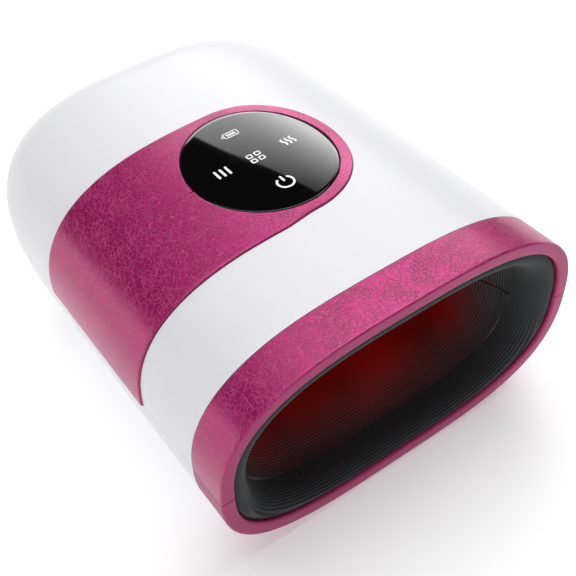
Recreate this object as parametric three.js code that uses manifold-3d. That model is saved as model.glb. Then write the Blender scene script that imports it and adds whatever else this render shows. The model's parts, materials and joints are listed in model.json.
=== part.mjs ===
// A cordless hand massager: a moulded casing with a D-shaped mouth, a fabric-lined hand pocket
// that two air bags squeeze from above and below, and the pump, valves and battery behind it.
// Lengths are in millimetres, +Z is up and the mouth faces -Y.
// The parts are drawn with y = 0 on the mouth's face and z = 0 on the line where the casings part.

import * as THREE from 'three';
import { mergeVertices } from 'three/addons/utils/BufferGeometryUtils.js';
import Module from 'manifold-3d';

const wasm = await Module();
wasm.setup();

// Casing: overall sizes and the curves of its plan and sections
const casingWidth = 170;
const casingLength = 221.4;
const crownHeight = 53.1;
const bellyDepth = 48.7;
const shellWall = 2.8;
const backRound = 78.7;
const backSlope = 30.6;
const leanShare = 0.07;
const crownFallShare = 0.154;
const planTaperShare = 0.016;
const planPower = 3.88;
const slopePower = 2.89;
const upperPowers = { across: 3.055, up: 2.374 };
const lowerPowers = { across: 3.605, up: 2.497 };

// Clearances that all pieces share
const fitGap = 0.3;
const partingGap = 0.3;
const overrun = 4;
const weld = 0.0001;

// Tongue that locates the upper casing on the lower one
const tongue = { height: 2.2, wall: 1.1, step: 0.2 };

// Mouth: the D-shaped hole in the bezel, inside a rim of one width at its sides, top and floor
const rim = { side: 6.25, top: 6.1, floor: 6.8 };
const mouthWidth = casingWidth - 2 * rim.side;
const mouthAbove = crownHeight - rim.top;
const mouthBelow = bellyDepth - rim.floor;
const mouthUpperPowers = { across: 3.003, up: 2.641 };
const mouthLowerPowers = { across: 3.351, up: 2.822 };

// Bezel: two trim halves that ring the mouth
const bezel = { depth: 19.9, nose: 1.5, innerDepth: 11, web: 3.2, innerWall: 1.6, tongueLength: 6, tongueWall: 1.2, root: 5.6 };
const noseRows = [
  { depthShare: 0.62, insetShare: 0 },
  { depthShare: 0.2, insetShare: 0.03 },
  { depthShare: 0.02, insetShare: 0.11 },
  { depthShare: 0, insetShare: 0.5 },
  { depthShare: 0.1, insetShare: 0.86 },
  { depthShare: 0.42, insetShare: 0.96 },
  { depthShare: 1, insetShare: 1 },
];

// Accent band over the left shoulder, and the ring that it ends in round the touch panel
const panelPlaceShare = 0.4557;
const panel = { x: 4.3, y: casingLength * panelPlaceShare, halfWidth: 31.5, halfLength: 36.2 };
const band = { ring: 5.2, ahead: 43.2, behind: 36.5, proud: 0.9, depth: 1.3, seat: 1.6, bendShare: 0.42 };
const bandFront = panel.y - band.ahead;
const bandBack = panel.y + band.behind;
const glass = { proud: 0.95, ledge: 8 };

// Feet, set in shallow pockets of the underside
const foot = { x: 40, frontY: 40, fromBack: 37.4, radius: 6.5, stand: 2, pocket: 3.2, chamfer: 0.8, cupWall: 1.5, cupTop: 5.2 };

// Casing screws, driven up from the underside through deep wells
const boss = { fromSide: 14, frontY: 50, fromBack: 61.4, radius: 4.5, wellRadius: 3.3, seatBelow: 8, roof: 13 };
const screw = { shaftRadius: 1.2, headRadius: 2.8, headHeight: 1.8, bite: 9, holeGap: 0.35 };

// Inner frames: two vaults that hold the air bags round the pocket, set in from the casing
const frameRoom = { side: 19.8, top: 12.6, floor: 6, back: 53.4 };
const frameWall = 2;
const frame = {
  half: casingWidth / 2 - frameRoom.side,
  above: crownHeight - frameRoom.top,
  below: bellyDepth - frameRoom.floor,
  front: 45,
  back: casingLength - frameRoom.back,
};
const frameUpperPowers = { across: 5, up: 5 };
const frameLowerPowers = { across: 6, up: 6 };
const rail = { x: 30, width: 3, fromFront: 5, fromBack: 8 };
const post = { x: 26, fromFront: 11, fromBack: 18, radius: 3 };

// Squeezing stack, from the frames inwards: air bag, heating film and foam above, air bag and plate below
const fabric = 1.5;
const bag = { inset: 4, frontInset: 4, backInset: 11, thick: 4.8, roomAbove: 1.5, roomBelow: 0.9, corner: 12 };
const bagTail = { radius: 2.2, beyond: 2, gap: 0.5, upperFromLeft: 23 };
const pad = { sideInset: 17, fromFrame: 5, fromEnd: 5, foam: 3.6, film: 0.6, corner: 10 };
const palm = { spread: 2, plate: 2.4, nubRadius: 2.6, nubHeight: 2.4, columns: 5, rows: 7, marginX: 10, marginY: 12 };
const fuse = { radius: 2, length: 12, fromBack: 5 };

// Heights of the stack
const upperBagTop = frame.above - frameWall - bag.roomAbove;
const upperBagBottom = upperBagTop - bag.thick;
const upperBagMiddle = upperBagTop - bag.thick / 2;
const filmBottom = upperBagBottom - fitGap - pad.film;
const foamBottom = filmBottom - fitGap - pad.foam;
const palmBagBottom = frameWall + bag.roomBelow - frame.below;
const palmBagMiddle = palmBagBottom + bag.thick / 2;
const plateBottom = palmBagBottom + bag.thick + fitGap;
const plateTop = plateBottom + palm.plate;
const nubTop = plateTop + palm.nubHeight;

// Fabric pocket: a rolled mouth, a vault and a floor, inside the stack
const roll = { front: 3, back: 16, sideInset: 9.6, topInset: 9.6, floorInset: 4.3 };
const rollRows = [
  { depthShare: 0.1, insetShare: 0 },
  { depthShare: 0.02, insetShare: 0.12 },
  { depthShare: 0, insetShare: 0.28 },
  { depthShare: 0.07, insetShare: 0.5 },
  { depthShare: 0.25, insetShare: 0.72 },
  { depthShare: 0.55, insetShare: 0.9 },
  { depthShare: 1, insetShare: 1 },
  { depthShare: 1, insetShare: 0.76 },
  { depthShare: 0.5, insetShare: 0.55 },
  { depthShare: 0.62, insetShare: 0 },
];
const pocketRoom = { side: 4.2, back: 8 };
const pocket = {
  half: frame.half - pocketRoom.side,
  above: foamBottom - fitGap - fabric,
  below: -nubTop - fitGap - fabric,
  deepFrom: 44,
  end: frame.back - pocketRoom.back,
  legs: 20,
  lapGap: 0.4,
  floorTop: 4,
  endRound: 6,
};
const pocketPowers = { across: 4, up: 4 };
const padHalf = pocket.half - pad.sideInset;
const padFront = frame.front + pad.fromFrame;
const padBack = pocket.end - pad.fromEnd;
const palmHalf = padHalf + palm.spread;
const bagHalf = padHalf - bag.inset;
const bagFront = padFront + bag.frontInset;
const bagBack = padBack - bag.backInset;
const bagTailEnd = frame.back + bagTail.beyond;

// Touch board under the glass and its ribbon to the main board
const touchBoard = { halfWidth: 27, halfLength: 31, thick: 1.6, roof: 9.2, postRadius: 2, postX: 17.5, postY: 23 };
const touchBoardTop = crownHeight - touchBoard.roof;
const mainBoard = { half: 48, thick: 1.6, bottom: 4, fromTop: 9.5, standoff: 1.2, padRadius: 2.5, padInset: 6 };
const mainBoardTop = frame.above - mainBoard.fromTop;
const boardFront = frame.back + mainBoard.standoff + fitGap;
const boardBack = boardFront + mainBoard.thick;
const ribbon = { width: 12, thick: 0.4, x: -8, sag: 0.9, turnRise: 1.1, turnIn: 2, lead: 7 };
const processor = { acrossShare: 0.28, upShare: 0.5, width: 11, tall: 11, height: 1.6 };
const chargeCoil = { acrossShare: 0.52, upShare: 0.3, width: 5, tall: 5, height: 3 };
const ribbonSocket = { acrossShare: -0.16, upShare: 0.8, width: 14, tall: 4, height: 2.4 };
const buzzer = { radius: 5, height: 4.5, fromSide: 14, upShare: 0.63 };

// Air pump: motor, crank case, diaphragm and valve cover on one axis along X
const pumpRoom = { side: 23, back: 36.9, floor: 26.7 };
const pump = { left: pumpRoom.side - casingWidth / 2, y: casingLength - pumpRoom.back, z: pumpRoom.floor - bellyDepth };
const motor = { radius: 12, length: 26, boreDepth: 5, noseRadius: 4, nose: 1.2 };
const sleeve = { wall: 1.8, length: 18, inset: 3 };
const crank = { radius: 13.4, wall: 1.7, length: 13, mouthRadius: 7 };
const diaphragm = { radius: 13, thick: 1.2 };
const cover = { radius: 13, length: 8, nozzleRadius: 2.2, nozzle: 4 };
const rotor = { shaftRadius: 1, boreGap: 0.35, length: 11, camRadius: 6, camThick: 4, camOffset: 2 };
const saddle = { width: 4, spread: 12, inset: 2 };

// Pump stations along X, each piece a fitting gap after the last
const motorEnd = pump.left + motor.length;
const crankStart = motorEnd + fitGap;
const crankEnd = crankStart + crank.length;
const diaphragmStart = crankEnd + fitGap;
const coverStart = diaphragmStart + diaphragm.thick + fitGap;
const coverEnd = coverStart + cover.length;
const nozzleX = (coverStart + coverEnd) / 2;

// Manifold, valves and hoses
const manifold = { fromPump: 12, length: 46, rise: 11.4, height: 7, depth: 7, nozzleRadius: 2.2, nozzle: 2, palmInset: 4.2 };
const manifoldLeft = pump.left + manifold.fromPump;
const manifoldRight = manifoldLeft + manifold.length;
const manifoldBottom = pump.z + cover.radius + manifold.rise;
const manifoldTop = manifoldBottom + manifold.height;
const palmHoseX = manifoldRight - manifold.palmInset;
const upperTailX = manifoldLeft + bagTail.upperFromLeft;
const valve = { upperInset: 12, pitch: 22, half: 7, depth: 16, height: 13, boreRadius: 2.2, boreDepth: 9 };
const upperValveX = manifoldLeft + valve.upperInset;
const palmValveX = upperValveX + valve.pitch;
const valveY = boardBack + fitGap + valve.depth / 2;
const valveBottom = manifoldTop + fitGap;
const valveTop = valveBottom + valve.height;
const plunger = { radius: 1.8, length: 11, headRadius: 3.4, head: 1.2, lift: 5.4 };
const coil = { radius: 2.75, wire: 0.3, turns: 4, steps: 8, sides: 5 };
const hose = { radius: 2.2, sides: 8, lead: 4.5, sweep: 5, dip: 2, steps: 22 };

// Battery: two cells in an open holder, between the manifold and the right-hand wall
const battery = { gapLeft: 2.5, sideRoom: 22.5, fromBack: 38.4, floorRoom: 25.2, pitch: 19.6, radius: 9.2, cellGap: 0.3, wall: 1.5, openBehind: 2 };
const cellLeft = manifoldRight + battery.gapLeft;
const cellRight = casingWidth / 2 - battery.sideRoom;
const cellY = casingLength - battery.fromBack;
const cellZ = battery.floorRoom - bellyDepth;
const rib = { width: 2.5, insetShare: 0.22, half: 8 };

// Charging inlet in the rear wall
const port = { z: -14, halfWidth: 4.6, height: 3.3, length: 8, wall: 0.4, tongueHalf: 3.3, tongue: 0.7, depth: 6.4, behind: 1.8 };
const portHole = { halfWidth: 5.6, height: 4.8, rimWidth: 7.9, rimHeight: 8.3, rimDepth: 1.1 };
const portBoard = { halfWidth: 9, length: 13, thick: 1.2, behind: 4.2 };
const shelf = { half: 11, wall: 1.6, reach: 18, webReach: 14 };

// How finely curves are cut
const archSteps = 26;
const innerSteps = 16;
const fineSides = 20;
const roundSides = 12;
const smallSides = 8;

// Materials
const whiteShell = finish(0xf1f1f4, 0.22, 0);
const pinkTrim = finish(0xb54c80, 0.38, 0.35);
const pinkSmooth = finish(0x96426a, 0.35, 0.3);
const blackGlass = finish(0x060608, 0.06, 0);
const greyFabric = finish(0x3b3c3e, 0.95, 0);
const blackRubber = finish(0x2a2a2c, 0.85, 0);
const framePlastic = finish(0x5a5d62, 0.6, 0);
const airBagVinyl = finish(0x8e9196, 0.5, 0);
const foamPad = finish(0x44464a, 0.98, 0);
const heatFilm = finish(0xb5651d, 0.45, 0);
const greenBoard = finish(0x1f6b43, 0.5, 0);
const ribbonFilm = finish(0xd9dbe0, 0.5, 0);
const steel = finish(0xb9bcc2, 0.3, 1);
const brass = finish(0xc9a24a, 0.35, 1);
const cellWrap = finish(0x2e6fb0, 0.4, 0);
const clearHose = finish(0xd8dadc, 0.35, 0);
const pumpPlastic = finish(0x202226, 0.5, 0);

function finish(color, roughness, metalness) {
  return new THREE.MeshStandardMaterial({ color, roughness, metalness });
}

// Solids: three.js shapes turned into closed bodies that can be joined and cut

function solid(geometry) {
  const bare = geometry.clone();
  bare.deleteAttribute('normal');
  bare.deleteAttribute('uv');
  const merged = mergeVertices(bare, weld);
  const vertProperties = new Float32Array(merged.attributes.position.array);
  const triVerts = new Uint32Array(merged.index.array);
  return new wasm.Manifold(new wasm.Mesh({ numProp: 3, vertProperties, triVerts }));
}

function meshOf(body, name, material) {
  const { vertProperties, triVerts } = body.getMesh();
  const geometry = new THREE.BufferGeometry();
  geometry.setAttribute('position', new THREE.BufferAttribute(vertProperties, 3));
  geometry.setIndex(new THREE.BufferAttribute(triVerts, 1));
  const flat = geometry.toNonIndexed();
  flat.computeVertexNormals();
  const mesh = new THREE.Mesh(flat, material);
  mesh.name = name;
  return mesh;
}

// A closed body from points and triangles, turned so that its faces point out
function closedBody(points, faces) {
  const geometry = new THREE.BufferGeometry().setFromPoints(points);
  let volume = 0;
  const cross = new THREE.Vector3();
  for (const [a, b, c] of faces) {
    volume += points[a].dot(cross.crossVectors(points[b], points[c]));
  }
  const ordered = volume < 0 ? faces.map(([a, b, c]) => [a, c, b]) : faces;
  geometry.setIndex(ordered.flat());
  return solid(geometry);
}

function block(x, y, z) {
  const geometry = new THREE.BoxGeometry(x[1] - x[0], y[1] - y[0], z[1] - z[0]);
  geometry.translate((x[0] + x[1]) / 2, (y[0] + y[1]) / 2, (z[0] + z[1]) / 2);
  return solid(geometry);
}

function rodZ(radius, z, x, y, sides = roundSides) {
  const geometry = new THREE.CylinderGeometry(radius, radius, z[1] - z[0], sides);
  geometry.rotateX(Math.PI / 2);
  geometry.translate(x, y, (z[0] + z[1]) / 2);
  return solid(geometry);
}

function rodX(radius, x, y, z, sides = roundSides) {
  const geometry = new THREE.CylinderGeometry(radius, radius, x[1] - x[0], sides);
  geometry.rotateZ(Math.PI / 2);
  geometry.translate((x[0] + x[1]) / 2, y, z);
  return solid(geometry);
}

function rodY(radius, y, x, z, sides = roundSides) {
  const geometry = new THREE.CylinderGeometry(radius, radius, y[1] - y[0], sides);
  geometry.translate(x, (y[0] + y[1]) / 2, z);
  return solid(geometry);
}

function prism(shape, z, curveSegments = roundSides) {
  const geometry = new THREE.ExtrudeGeometry(shape, { depth: z[1] - z[0], bevelEnabled: false, curveSegments });
  geometry.translate(0, 0, z[0]);
  return solid(geometry);
}

function ellipse(x, y, halfWidth, halfLength) {
  return new THREE.Shape().absellipse(x, y, halfWidth, halfLength, 0, 2 * Math.PI);
}

function roundedRectangle(x, y, corner) {
  const shape = new THREE.Shape();
  shape.moveTo(x[0] + corner, y[0]);
  shape.lineTo(x[1] - corner, y[0]);
  shape.quadraticCurveTo(x[1], y[0], x[1], y[0] + corner);
  shape.lineTo(x[1], y[1] - corner);
  shape.quadraticCurveTo(x[1], y[1], x[1] - corner, y[1]);
  shape.lineTo(x[0] + corner, y[1]);
  shape.quadraticCurveTo(x[0], y[1], x[0], y[1] - corner);
  shape.lineTo(x[0], y[0] + corner);
  shape.quadraticCurveTo(x[0], y[0], x[0] + corner, y[0]);
  return shape;
}

function polygon(radius, sides) {
  const corners = Array.from({ length: sides }, (_, i) => (2 * Math.PI * i) / sides);
  return new THREE.Shape(corners.map((a) => new THREE.Vector2(radius * Math.cos(a), radius * Math.sin(a))));
}

function tube(points, radius, steps) {
  const route = new THREE.CatmullRomCurve3(points.map((p) => new THREE.Vector3(...p)), false, 'centripetal');
  return solid(new THREE.ExtrudeGeometry(polygon(radius, hose.sides), { extrudePath: route, steps, curveSegments: 1 }));
}

// Sections: superellipse arches, the upper ones rising and the lower ones hanging

function archPoint(half, height, powers, angle) {
  const cosine = Math.cos(angle);
  const across = Math.sign(cosine) * Math.abs(cosine) ** (2 / powers.across);
  const up = Math.abs(Math.sin(angle)) ** (2 / powers.up);
  return new THREE.Vector2(half * across, height * up);
}

// Angles that cut an arch into pieces of about equal length
function evenAngles(half, height, powers, count) {
  const fine = 40 * count;
  const along = [0];
  let last = archPoint(half, height, powers, 0);
  for (let i = 1; i <= fine; i += 1) {
    const next = archPoint(half, height, powers, (Math.PI * i) / fine);
    along.push(along[i - 1] + next.distanceTo(last));
    last = next;
  }
  const angles = [];
  for (let k = 0, i = 0; k <= count; k += 1) {
    while (i < fine && along[i] < (along[fine] * k) / count) i += 1;
    angles.push((Math.PI * i) / fine);
  }
  return angles;
}

// How far a round end has closed: 1 before its start, 0 at its end
function closing(y, start, end, power) {
  const share = Math.min(1, Math.max(0, (y - start) / (end - start)));
  return (1 - share ** power) ** (1 / power);
}

// The casing's outer form, or one grown or shrunk from it, above or below the parting line
function casingForm(side, grow = 0, steps = archSteps) {
  const height = side > 0 ? crownHeight : bellyDepth;
  const powers = side > 0 ? upperPowers : lowerPowers;
  const fallShare = side > 0 ? crownFallShare : 0;
  const end = casingLength + grow;
  const angles = evenAngles(casingWidth, 2 * height, powers, steps);
  return (y) => {
    const plan = closing(y, casingLength - backRound, end, planPower) * (1 - (planTaperShare * y) / casingLength);
    const slope = closing(y, casingLength - backSlope, end, slopePower) * (1 - (fallShare * y) / casingLength);
    return angles.map((angle) => {
      const p = archPoint((casingWidth / 2 + grow) * plan, (height + grow) * slope, powers, angle);
      return leaned(p.x, y, side * p.y);
    });
  };
}

// The mouth's face leans out at the top, and the lean fades to nothing at the back
function leaned(x, y, z) {
  return new THREE.Vector3(x, y - leanShare * z * (1 - y / casingLength), z);
}

// The mouth's form, drawn in by one inset at its sides and another at its top or floor
function mouthForm(side, sideInset = 0, endInset = 0, steps = archSteps) {
  const height = (side > 0 ? mouthAbove : mouthBelow) - endInset;
  const powers = side > 0 ? mouthUpperPowers : mouthLowerPowers;
  const fallShare = side > 0 ? crownFallShare : 0;
  const angles = evenAngles(mouthWidth, 2 * height, powers, steps);
  return (y) => angles.map((angle) => {
    const p = archPoint(mouthWidth / 2 - sideInset, height * (1 - (fallShare * y) / casingLength), powers, angle);
    return leaned(p.x, y, side * p.y);
  });
}

function plainForm(side, half, height, powers, steps = innerSteps) {
  const angles = evenAngles(half, height, powers, steps);
  return (y) => angles.map((angle) => {
    const p = archPoint(half, height, powers, angle);
    return new THREE.Vector3(p.x, y, side * p.y);
  });
}

function between(a, b, share) {
  return a.map((p, i) => p.clone().lerp(b[i], share));
}

// A closed body through a row of rings; a last ring of one point closes it to a tip
function loft(rings) {
  const points = rings.flat();
  const count = rings[0].length;
  const faces = [];
  const start = rings.map((_, i) => i * count);
  for (let i = 0; i + 1 < rings.length; i += 1) {
    const tip = rings[i + 1].length === 1;
    for (let j = 0; j < count; j += 1) {
      const k = (j + 1) % count;
      const a = start[i] + j;
      const b = start[i] + k;
      faces.push([a, b, start[i + 1] + (tip ? 0 : j)]);
      if (!tip) faces.push([b, start[i + 1] + k, start[i + 1] + j]);
    }
  }
  for (let j = 1; j + 1 < count; j += 1) {
    faces.push([0, j + 1, j]);
    if (rings.at(-1).length > 1) faces.push([start.at(-1), start.at(-1) + j, start.at(-1) + j + 1]);
  }
  return closedBody(points, faces);
}

// A half ring: rows of arches that close on themselves, with a flat cut at both ends
function halfRing(rows) {
  const count = rows[0].length;
  const points = rows.flat();
  const at = (i, j) => (i % rows.length) * count + j;
  const faces = [];
  for (let i = 0; i < rows.length; i += 1) {
    for (let j = 0; j + 1 < count; j += 1) {
      faces.push([at(i, j), at(i + 1, j), at(i + 1, j + 1)]);
      faces.push([at(i, j), at(i + 1, j + 1), at(i, j + 1)]);
    }
  }
  for (const j of [0, count - 1]) {
    const contour = rows.map((row) => new THREE.Vector2(row[j].x, row[j].y));
    const turn = Math.sign(THREE.ShapeUtils.area(contour));
    for (const [a, b, c] of THREE.ShapeUtils.triangulateShape(contour, [])) {
      const same = Math.sign(THREE.ShapeUtils.area([contour[a], contour[b], contour[c]])) === turn;
      const forward = same === (j > 0);
      faces.push(forward ? [at(a, j), at(b, j), at(c, j)] : [at(a, j), at(c, j), at(b, j)]);
    }
  }
  return closedBody(points, faces);
}

// Stations along the casing, close together where its end rounds off
function stations(front, end, straight, rounded) {
  const ys = [];
  const turn = casingLength - backRound;
  for (let i = 0; i < straight; i += 1) ys.push(front + ((turn - front) * i) / straight);
  for (let i = 0; i < rounded; i += 1) ys.push(turn + (end - turn) * Math.sin((Math.PI / 2) * (i / rounded)));
  return ys;
}

function casingSolid(side, grow, front, steps = archSteps, straight = 4, rounded = 11) {
  const form = casingForm(side, grow, steps);
  const end = casingLength + grow;
  const rings = stations(front, end, straight, rounded).map(form);
  return loft([...rings, [new THREE.Vector3(0, end, 0)]]);
}

// Everything on one side of the parting line, kept back from it by a gap
function beyondParting(side, gap, reach = casingLength) {
  const z = side > 0 ? [gap, reach] : [-reach, -gap];
  return block([-casingWidth, casingWidth], [-casingLength, 2 * casingLength], z);
}

const shellFront = bezel.depth + fitGap;
const partHalf = partingGap / 2;
const bosses = [-1, 1].flatMap((side) => [boss.frontY, casingLength - boss.fromBack].map((y) => ({
  x: side * (casingWidth / 2 - boss.fromSide),
  y,
})));
const feet = [foot.frontY, casingLength - foot.fromBack].flatMap((y) => [-1, 1].map((side) => ({ x: side * foot.x, y })));

function bandOutline(gap) {
  const halfWidth = panel.halfWidth + band.ring + gap;
  const halfLength = panel.halfLength + band.ring + gap;
  const shape = new THREE.Shape();
  shape.moveTo(-casingWidth, bandFront - gap);
  shape.lineTo(-panel.halfWidth * band.bendShare, bandFront - gap);
  shape.quadraticCurveTo(-panel.x, bandFront - gap, panel.x, panel.y - halfLength);
  shape.absellipse(panel.x, panel.y, halfWidth, halfLength, -Math.PI / 2, Math.PI / 2);
  shape.quadraticCurveTo(-panel.halfWidth, panel.y + halfLength, -casingWidth / 2, bandBack + gap);
  shape.lineTo(-casingWidth, bandBack + gap);
  return shape;
}

function panelPrism(gap, z = [0, casingWidth]) {
  return prism(ellipse(panel.x, panel.y, panel.halfWidth + gap, panel.halfLength + gap), z, fineSides);
}

// The casing's plan at the parting line, as an upright slab
function planPrism(grow, z) {
  const end = casingLength + grow;
  const form = casingForm(1, grow, 2);
  const edge = stations(shellFront, end, 2, 12).map((y) => new THREE.Vector2(form(y)[0].x, y));
  const mirrored = edge.map((p) => new THREE.Vector2(-p.x, p.y)).reverse();
  return prism(new THREE.Shape([...edge, new THREE.Vector2(0, end), ...mirrored]), z);
}

function tongueRing(outerGrow, innerGrow, top) {
  const z = [-overrun / 2, top];
  return planPrism(outerGrow, z).subtract(planPrism(innerGrow, [-overrun, top + overrun]));
}

function stadium(halfWidth, halfHeight) {
  const shape = new THREE.Shape();
  shape.absarc(halfWidth - halfHeight, 0, halfHeight, -Math.PI / 2, Math.PI / 2);
  shape.absarc(halfHeight - halfWidth, 0, halfHeight, Math.PI / 2, (3 * Math.PI) / 2);
  return shape;
}

// An outline drawn in X and Z, drawn out along Y
function alongY(shape, y, z) {
  const geometry = new THREE.ExtrudeGeometry(shape, { depth: y[1] - y[0], bevelEnabled: false, curveSegments: 6 });
  geometry.rotateX(Math.PI / 2);
  geometry.translate(0, y[1], z);
  return solid(geometry);
}

function upperShell() {
  const middle = casingSolid(1, -shellWall / 2, shellFront - overrun, innerSteps, 3, 8);
  let shell = casingSolid(1, 0, shellFront).subtract(casingSolid(1, -shellWall, shellFront - overrun, archSteps, 3, 8));
  for (const { x, y } of bosses) {
    shell = shell.add(rodZ(boss.radius, [0, crownHeight - boss.roof], x, y).intersect(middle));
  }
  for (const { x, y } of boardPosts()) {
    const stalk = rodZ(touchBoard.postRadius, [touchBoardTop + fitGap, crownHeight], x, y, smallSides);
    shell = shell.add(stalk.intersect(middle));
  }
  for (const { x, y } of framePosts()) {
    const stalk = rodZ(post.radius, [frame.above + fitGap, crownHeight], x, y, smallSides);
    shell = shell.add(stalk.intersect(middle));
  }
  for (const { x, y } of bosses) {
    shell = shell.subtract(rodZ(screw.shaftRadius + screw.holeGap, [-overrun, screw.bite + fitGap], x, y, smallSides));
  }
  const core = casingSolid(1, -band.seat, shellFront - overrun);
  shell = shell.subtract(prism(bandOutline(fitGap), [-overrun, casingWidth], fineSides).subtract(core));
  shell = shell.subtract(panelPrism(-glass.ledge));
  shell = shell.subtract(tongueRing(fitGap + tongue.wall - shellWall, -shellWall - overrun, tongue.height + fitGap));
  return shell.intersect(beyondParting(1, partHalf));
}

function boardPosts() {
  const sides = [-1, 1];
  return sides.flatMap((a) => sides.map((b) => ({
    x: panel.x + a * touchBoard.postX,
    y: panel.y + b * touchBoard.postY,
  })));
}

function framePosts() {
  return [-1, 1].flatMap((side) => [frame.front + post.fromFront, frame.back - post.fromBack].map((y) => ({ x: side * post.x, y })));
}

function lowerShell() {
  const middle = casingSolid(-1, -shellWall / 2, shellFront - overrun, innerSteps, 3, 8);
  let shell = casingSolid(-1, 0, shellFront).subtract(casingSolid(-1, -shellWall, shellFront - overrun, archSteps, 3, 8));
  for (const { x, y } of bosses) {
    shell = shell.add(rodZ(boss.radius, [-bellyDepth, 0], x, y).intersect(middle));
  }
  for (const { x, y } of feet) {
    const cup = rodZ(foot.radius + foot.cupWall, [-bellyDepth, foot.cupTop - bellyDepth], x, y);
    shell = shell.add(cup.intersect(middle));
  }
  shell = shell.add(frameRails().intersect(middle));
  shell = shell.add(baySupports().intersect(middle));
  for (const { x, y } of feet) {
    const pocketTop = foot.pocket - bellyDepth;
    shell = shell.subtract(rodZ(foot.radius + fitGap, [-bellyDepth - overrun, pocketTop], x, y, fineSides));
  }
  for (const { x, y } of bosses) {
    shell = shell.subtract(rodZ(boss.wellRadius, [-bellyDepth - overrun, -boss.seatBelow], x, y));
    shell = shell.subtract(rodZ(screw.shaftRadius + screw.holeGap, [-bellyDepth, overrun], x, y, smallSides));
  }
  const throughWall = [casingLength - 2 * overrun, casingLength + overrun];
  shell = shell.subtract(alongY(stadium(portHole.halfWidth, portHole.height / 2), throughWall, port.z));
  const rim = [casingLength - portHole.rimDepth, casingLength + overrun];
  shell = shell.subtract(alongY(stadium(portHole.rimWidth, portHole.rimHeight / 2), rim, port.z));
  return shell.intersect(beyondParting(-1, partHalf)).add(tongueRing(tongue.wall - shellWall, tongue.step - shellWall, tongue.height));
}

function frameRails() {
  const rails = [-1, 1].map((side) => {
    const x = side * rail.x;
    return block([x - rail.width / 2, x + rail.width / 2], [frame.front + rail.fromFront, frame.back - rail.fromBack], [-bellyDepth, -frame.below - fitGap]);
  });
  return rails[0].add(rails[1]);
}

// Saddles for the pump, ribs under the battery and the shelf for the charging inlet
function baySupports() {
  const floor = -bellyDepth;
  const sleeveRadius = motor.radius + fitGap + sleeve.wall;
  const bed = rodX(sleeveRadius + fitGap, [pump.left - overrun, coverEnd], pump.y, pump.z, fineSides);
  let supports = shelfBody();
  for (const end of [0, 1]) {
    const left = pump.left + sleeve.inset + saddle.inset;
    const x = left + end * (sleeve.length - 2 * saddle.inset - saddle.width);
    const y = [pump.y - saddle.spread, pump.y + saddle.spread];
    supports = supports.add(block([x, x + saddle.width], y, [floor, pump.z]).subtract(bed));
    const ribX = cellLeft + (cellRight - cellLeft) * (end ? 1 - rib.insetShare : rib.insetShare);
    const top = cellZ - battery.radius - battery.cellGap - battery.wall - fitGap;
    supports = supports.add(block([ribX - rib.width / 2, ribX + rib.width / 2], [cellY - rib.half, cellY + rib.half], [floor, top]));
  }
  return supports;
}

const portBoardTop = port.z - port.height / 2 - fitGap;
const shelfTop = portBoardTop - portBoard.thick - fitGap;

function shelfBody() {
  const y = [casingLength - shelf.reach, casingLength];
  const plate = block([-shelf.half, shelf.half], y, [shelfTop - shelf.wall, shelfTop]);
  const webY = [casingLength - shelf.webReach, casingLength];
  return plate.add(block([-rib.width / 2, rib.width / 2], webY, [-bellyDepth, shelfTop]));
}

function chargeSocket() {
  const back = casingLength - port.behind - port.length;
  const mouth = casingLength - port.behind;
  const can = alongY(stadium(port.halfWidth, port.height / 2), [back, mouth], port.z);
  const hollow = stadium(port.halfWidth - port.wall, port.height / 2 - port.wall);
  const blade = block([-port.tongueHalf, port.tongueHalf], [back, mouth - port.wall], [port.z - port.tongue / 2, port.z + port.tongue / 2]);
  return can.subtract(alongY(hollow, [mouth - port.depth, mouth + overrun], port.z)).add(blade);
}

function chargeBoard() {
  const back = casingLength - portBoard.behind;
  return block([-portBoard.halfWidth, portBoard.halfWidth], [back - portBoard.length, back], [portBoardTop - portBoard.thick, portBoardTop]);
}

function accentBand() {
  const core = casingSolid(1, -band.depth, shellFront - overrun, archSteps, 4, 6);
  const outer = casingSolid(1, band.proud, shellFront, archSteps, 4, 6);
  const strip = prism(bandOutline(0), [partHalf, casingWidth], fineSides);
  return strip.intersect(outer).subtract(core).subtract(panelPrism(fitGap, [-overrun, casingWidth]));
}

function touchGlass() {
  const core = casingSolid(1, -band.depth, shellFront - overrun, archSteps, 4, 6);
  return panelPrism(0).intersect(casingSolid(1, glass.proud, shellFront, archSteps, 4, 6)).subtract(core);
}

function bezelHalf(side) {
  const casing = casingForm(side);
  const mouth = mouthForm(side);
  const lip = (casingWidth - mouthWidth) / 2;
  const seat = casingForm(side, -shellWall - fitGap);
  const hook = casingForm(side, -shellWall - fitGap - bezel.tongueWall);
  const at = (y, inset) => between(casing(y), mouth(y), inset / lip);
  const tip = bezel.depth + bezel.tongueLength;
  const rows = [
    casing(bezel.depth),
    ...noseRows.map((row) => at(bezel.nose * row.depthShare, lip * row.insetShare)),
    at(bezel.innerDepth, lip),
    at(bezel.innerDepth, lip - bezel.innerWall),
    at(bezel.web, lip - bezel.innerWall),
    at(bezel.web, shellWall),
    at(bezel.depth - bezel.root, shellWall),
    hook(bezel.depth - bezel.root + bezel.tongueWall),
    hook(tip),
    seat(tip),
    seat(bezel.depth),
  ];
  return halfRing(rows).intersect(beyondParting(side, partHalf));
}

// Fabric roll that lines the bezel and funnels into the pocket
function pocketMouth() {
  const halves = [1, -1].map((side) => {
    const endInset = side > 0 ? roll.topInset : roll.floorInset;
    return halfRing(rollRows.map(({ depthShare, insetShare }) => {
      const form = mouthForm(side, fitGap + roll.sideInset * insetShare, fitGap + endInset * insetShare, innerSteps);
      return form(roll.front + (roll.back - roll.front) * depthShare);
    }));
  });
  return halves[0].add(halves[1]);
}

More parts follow.
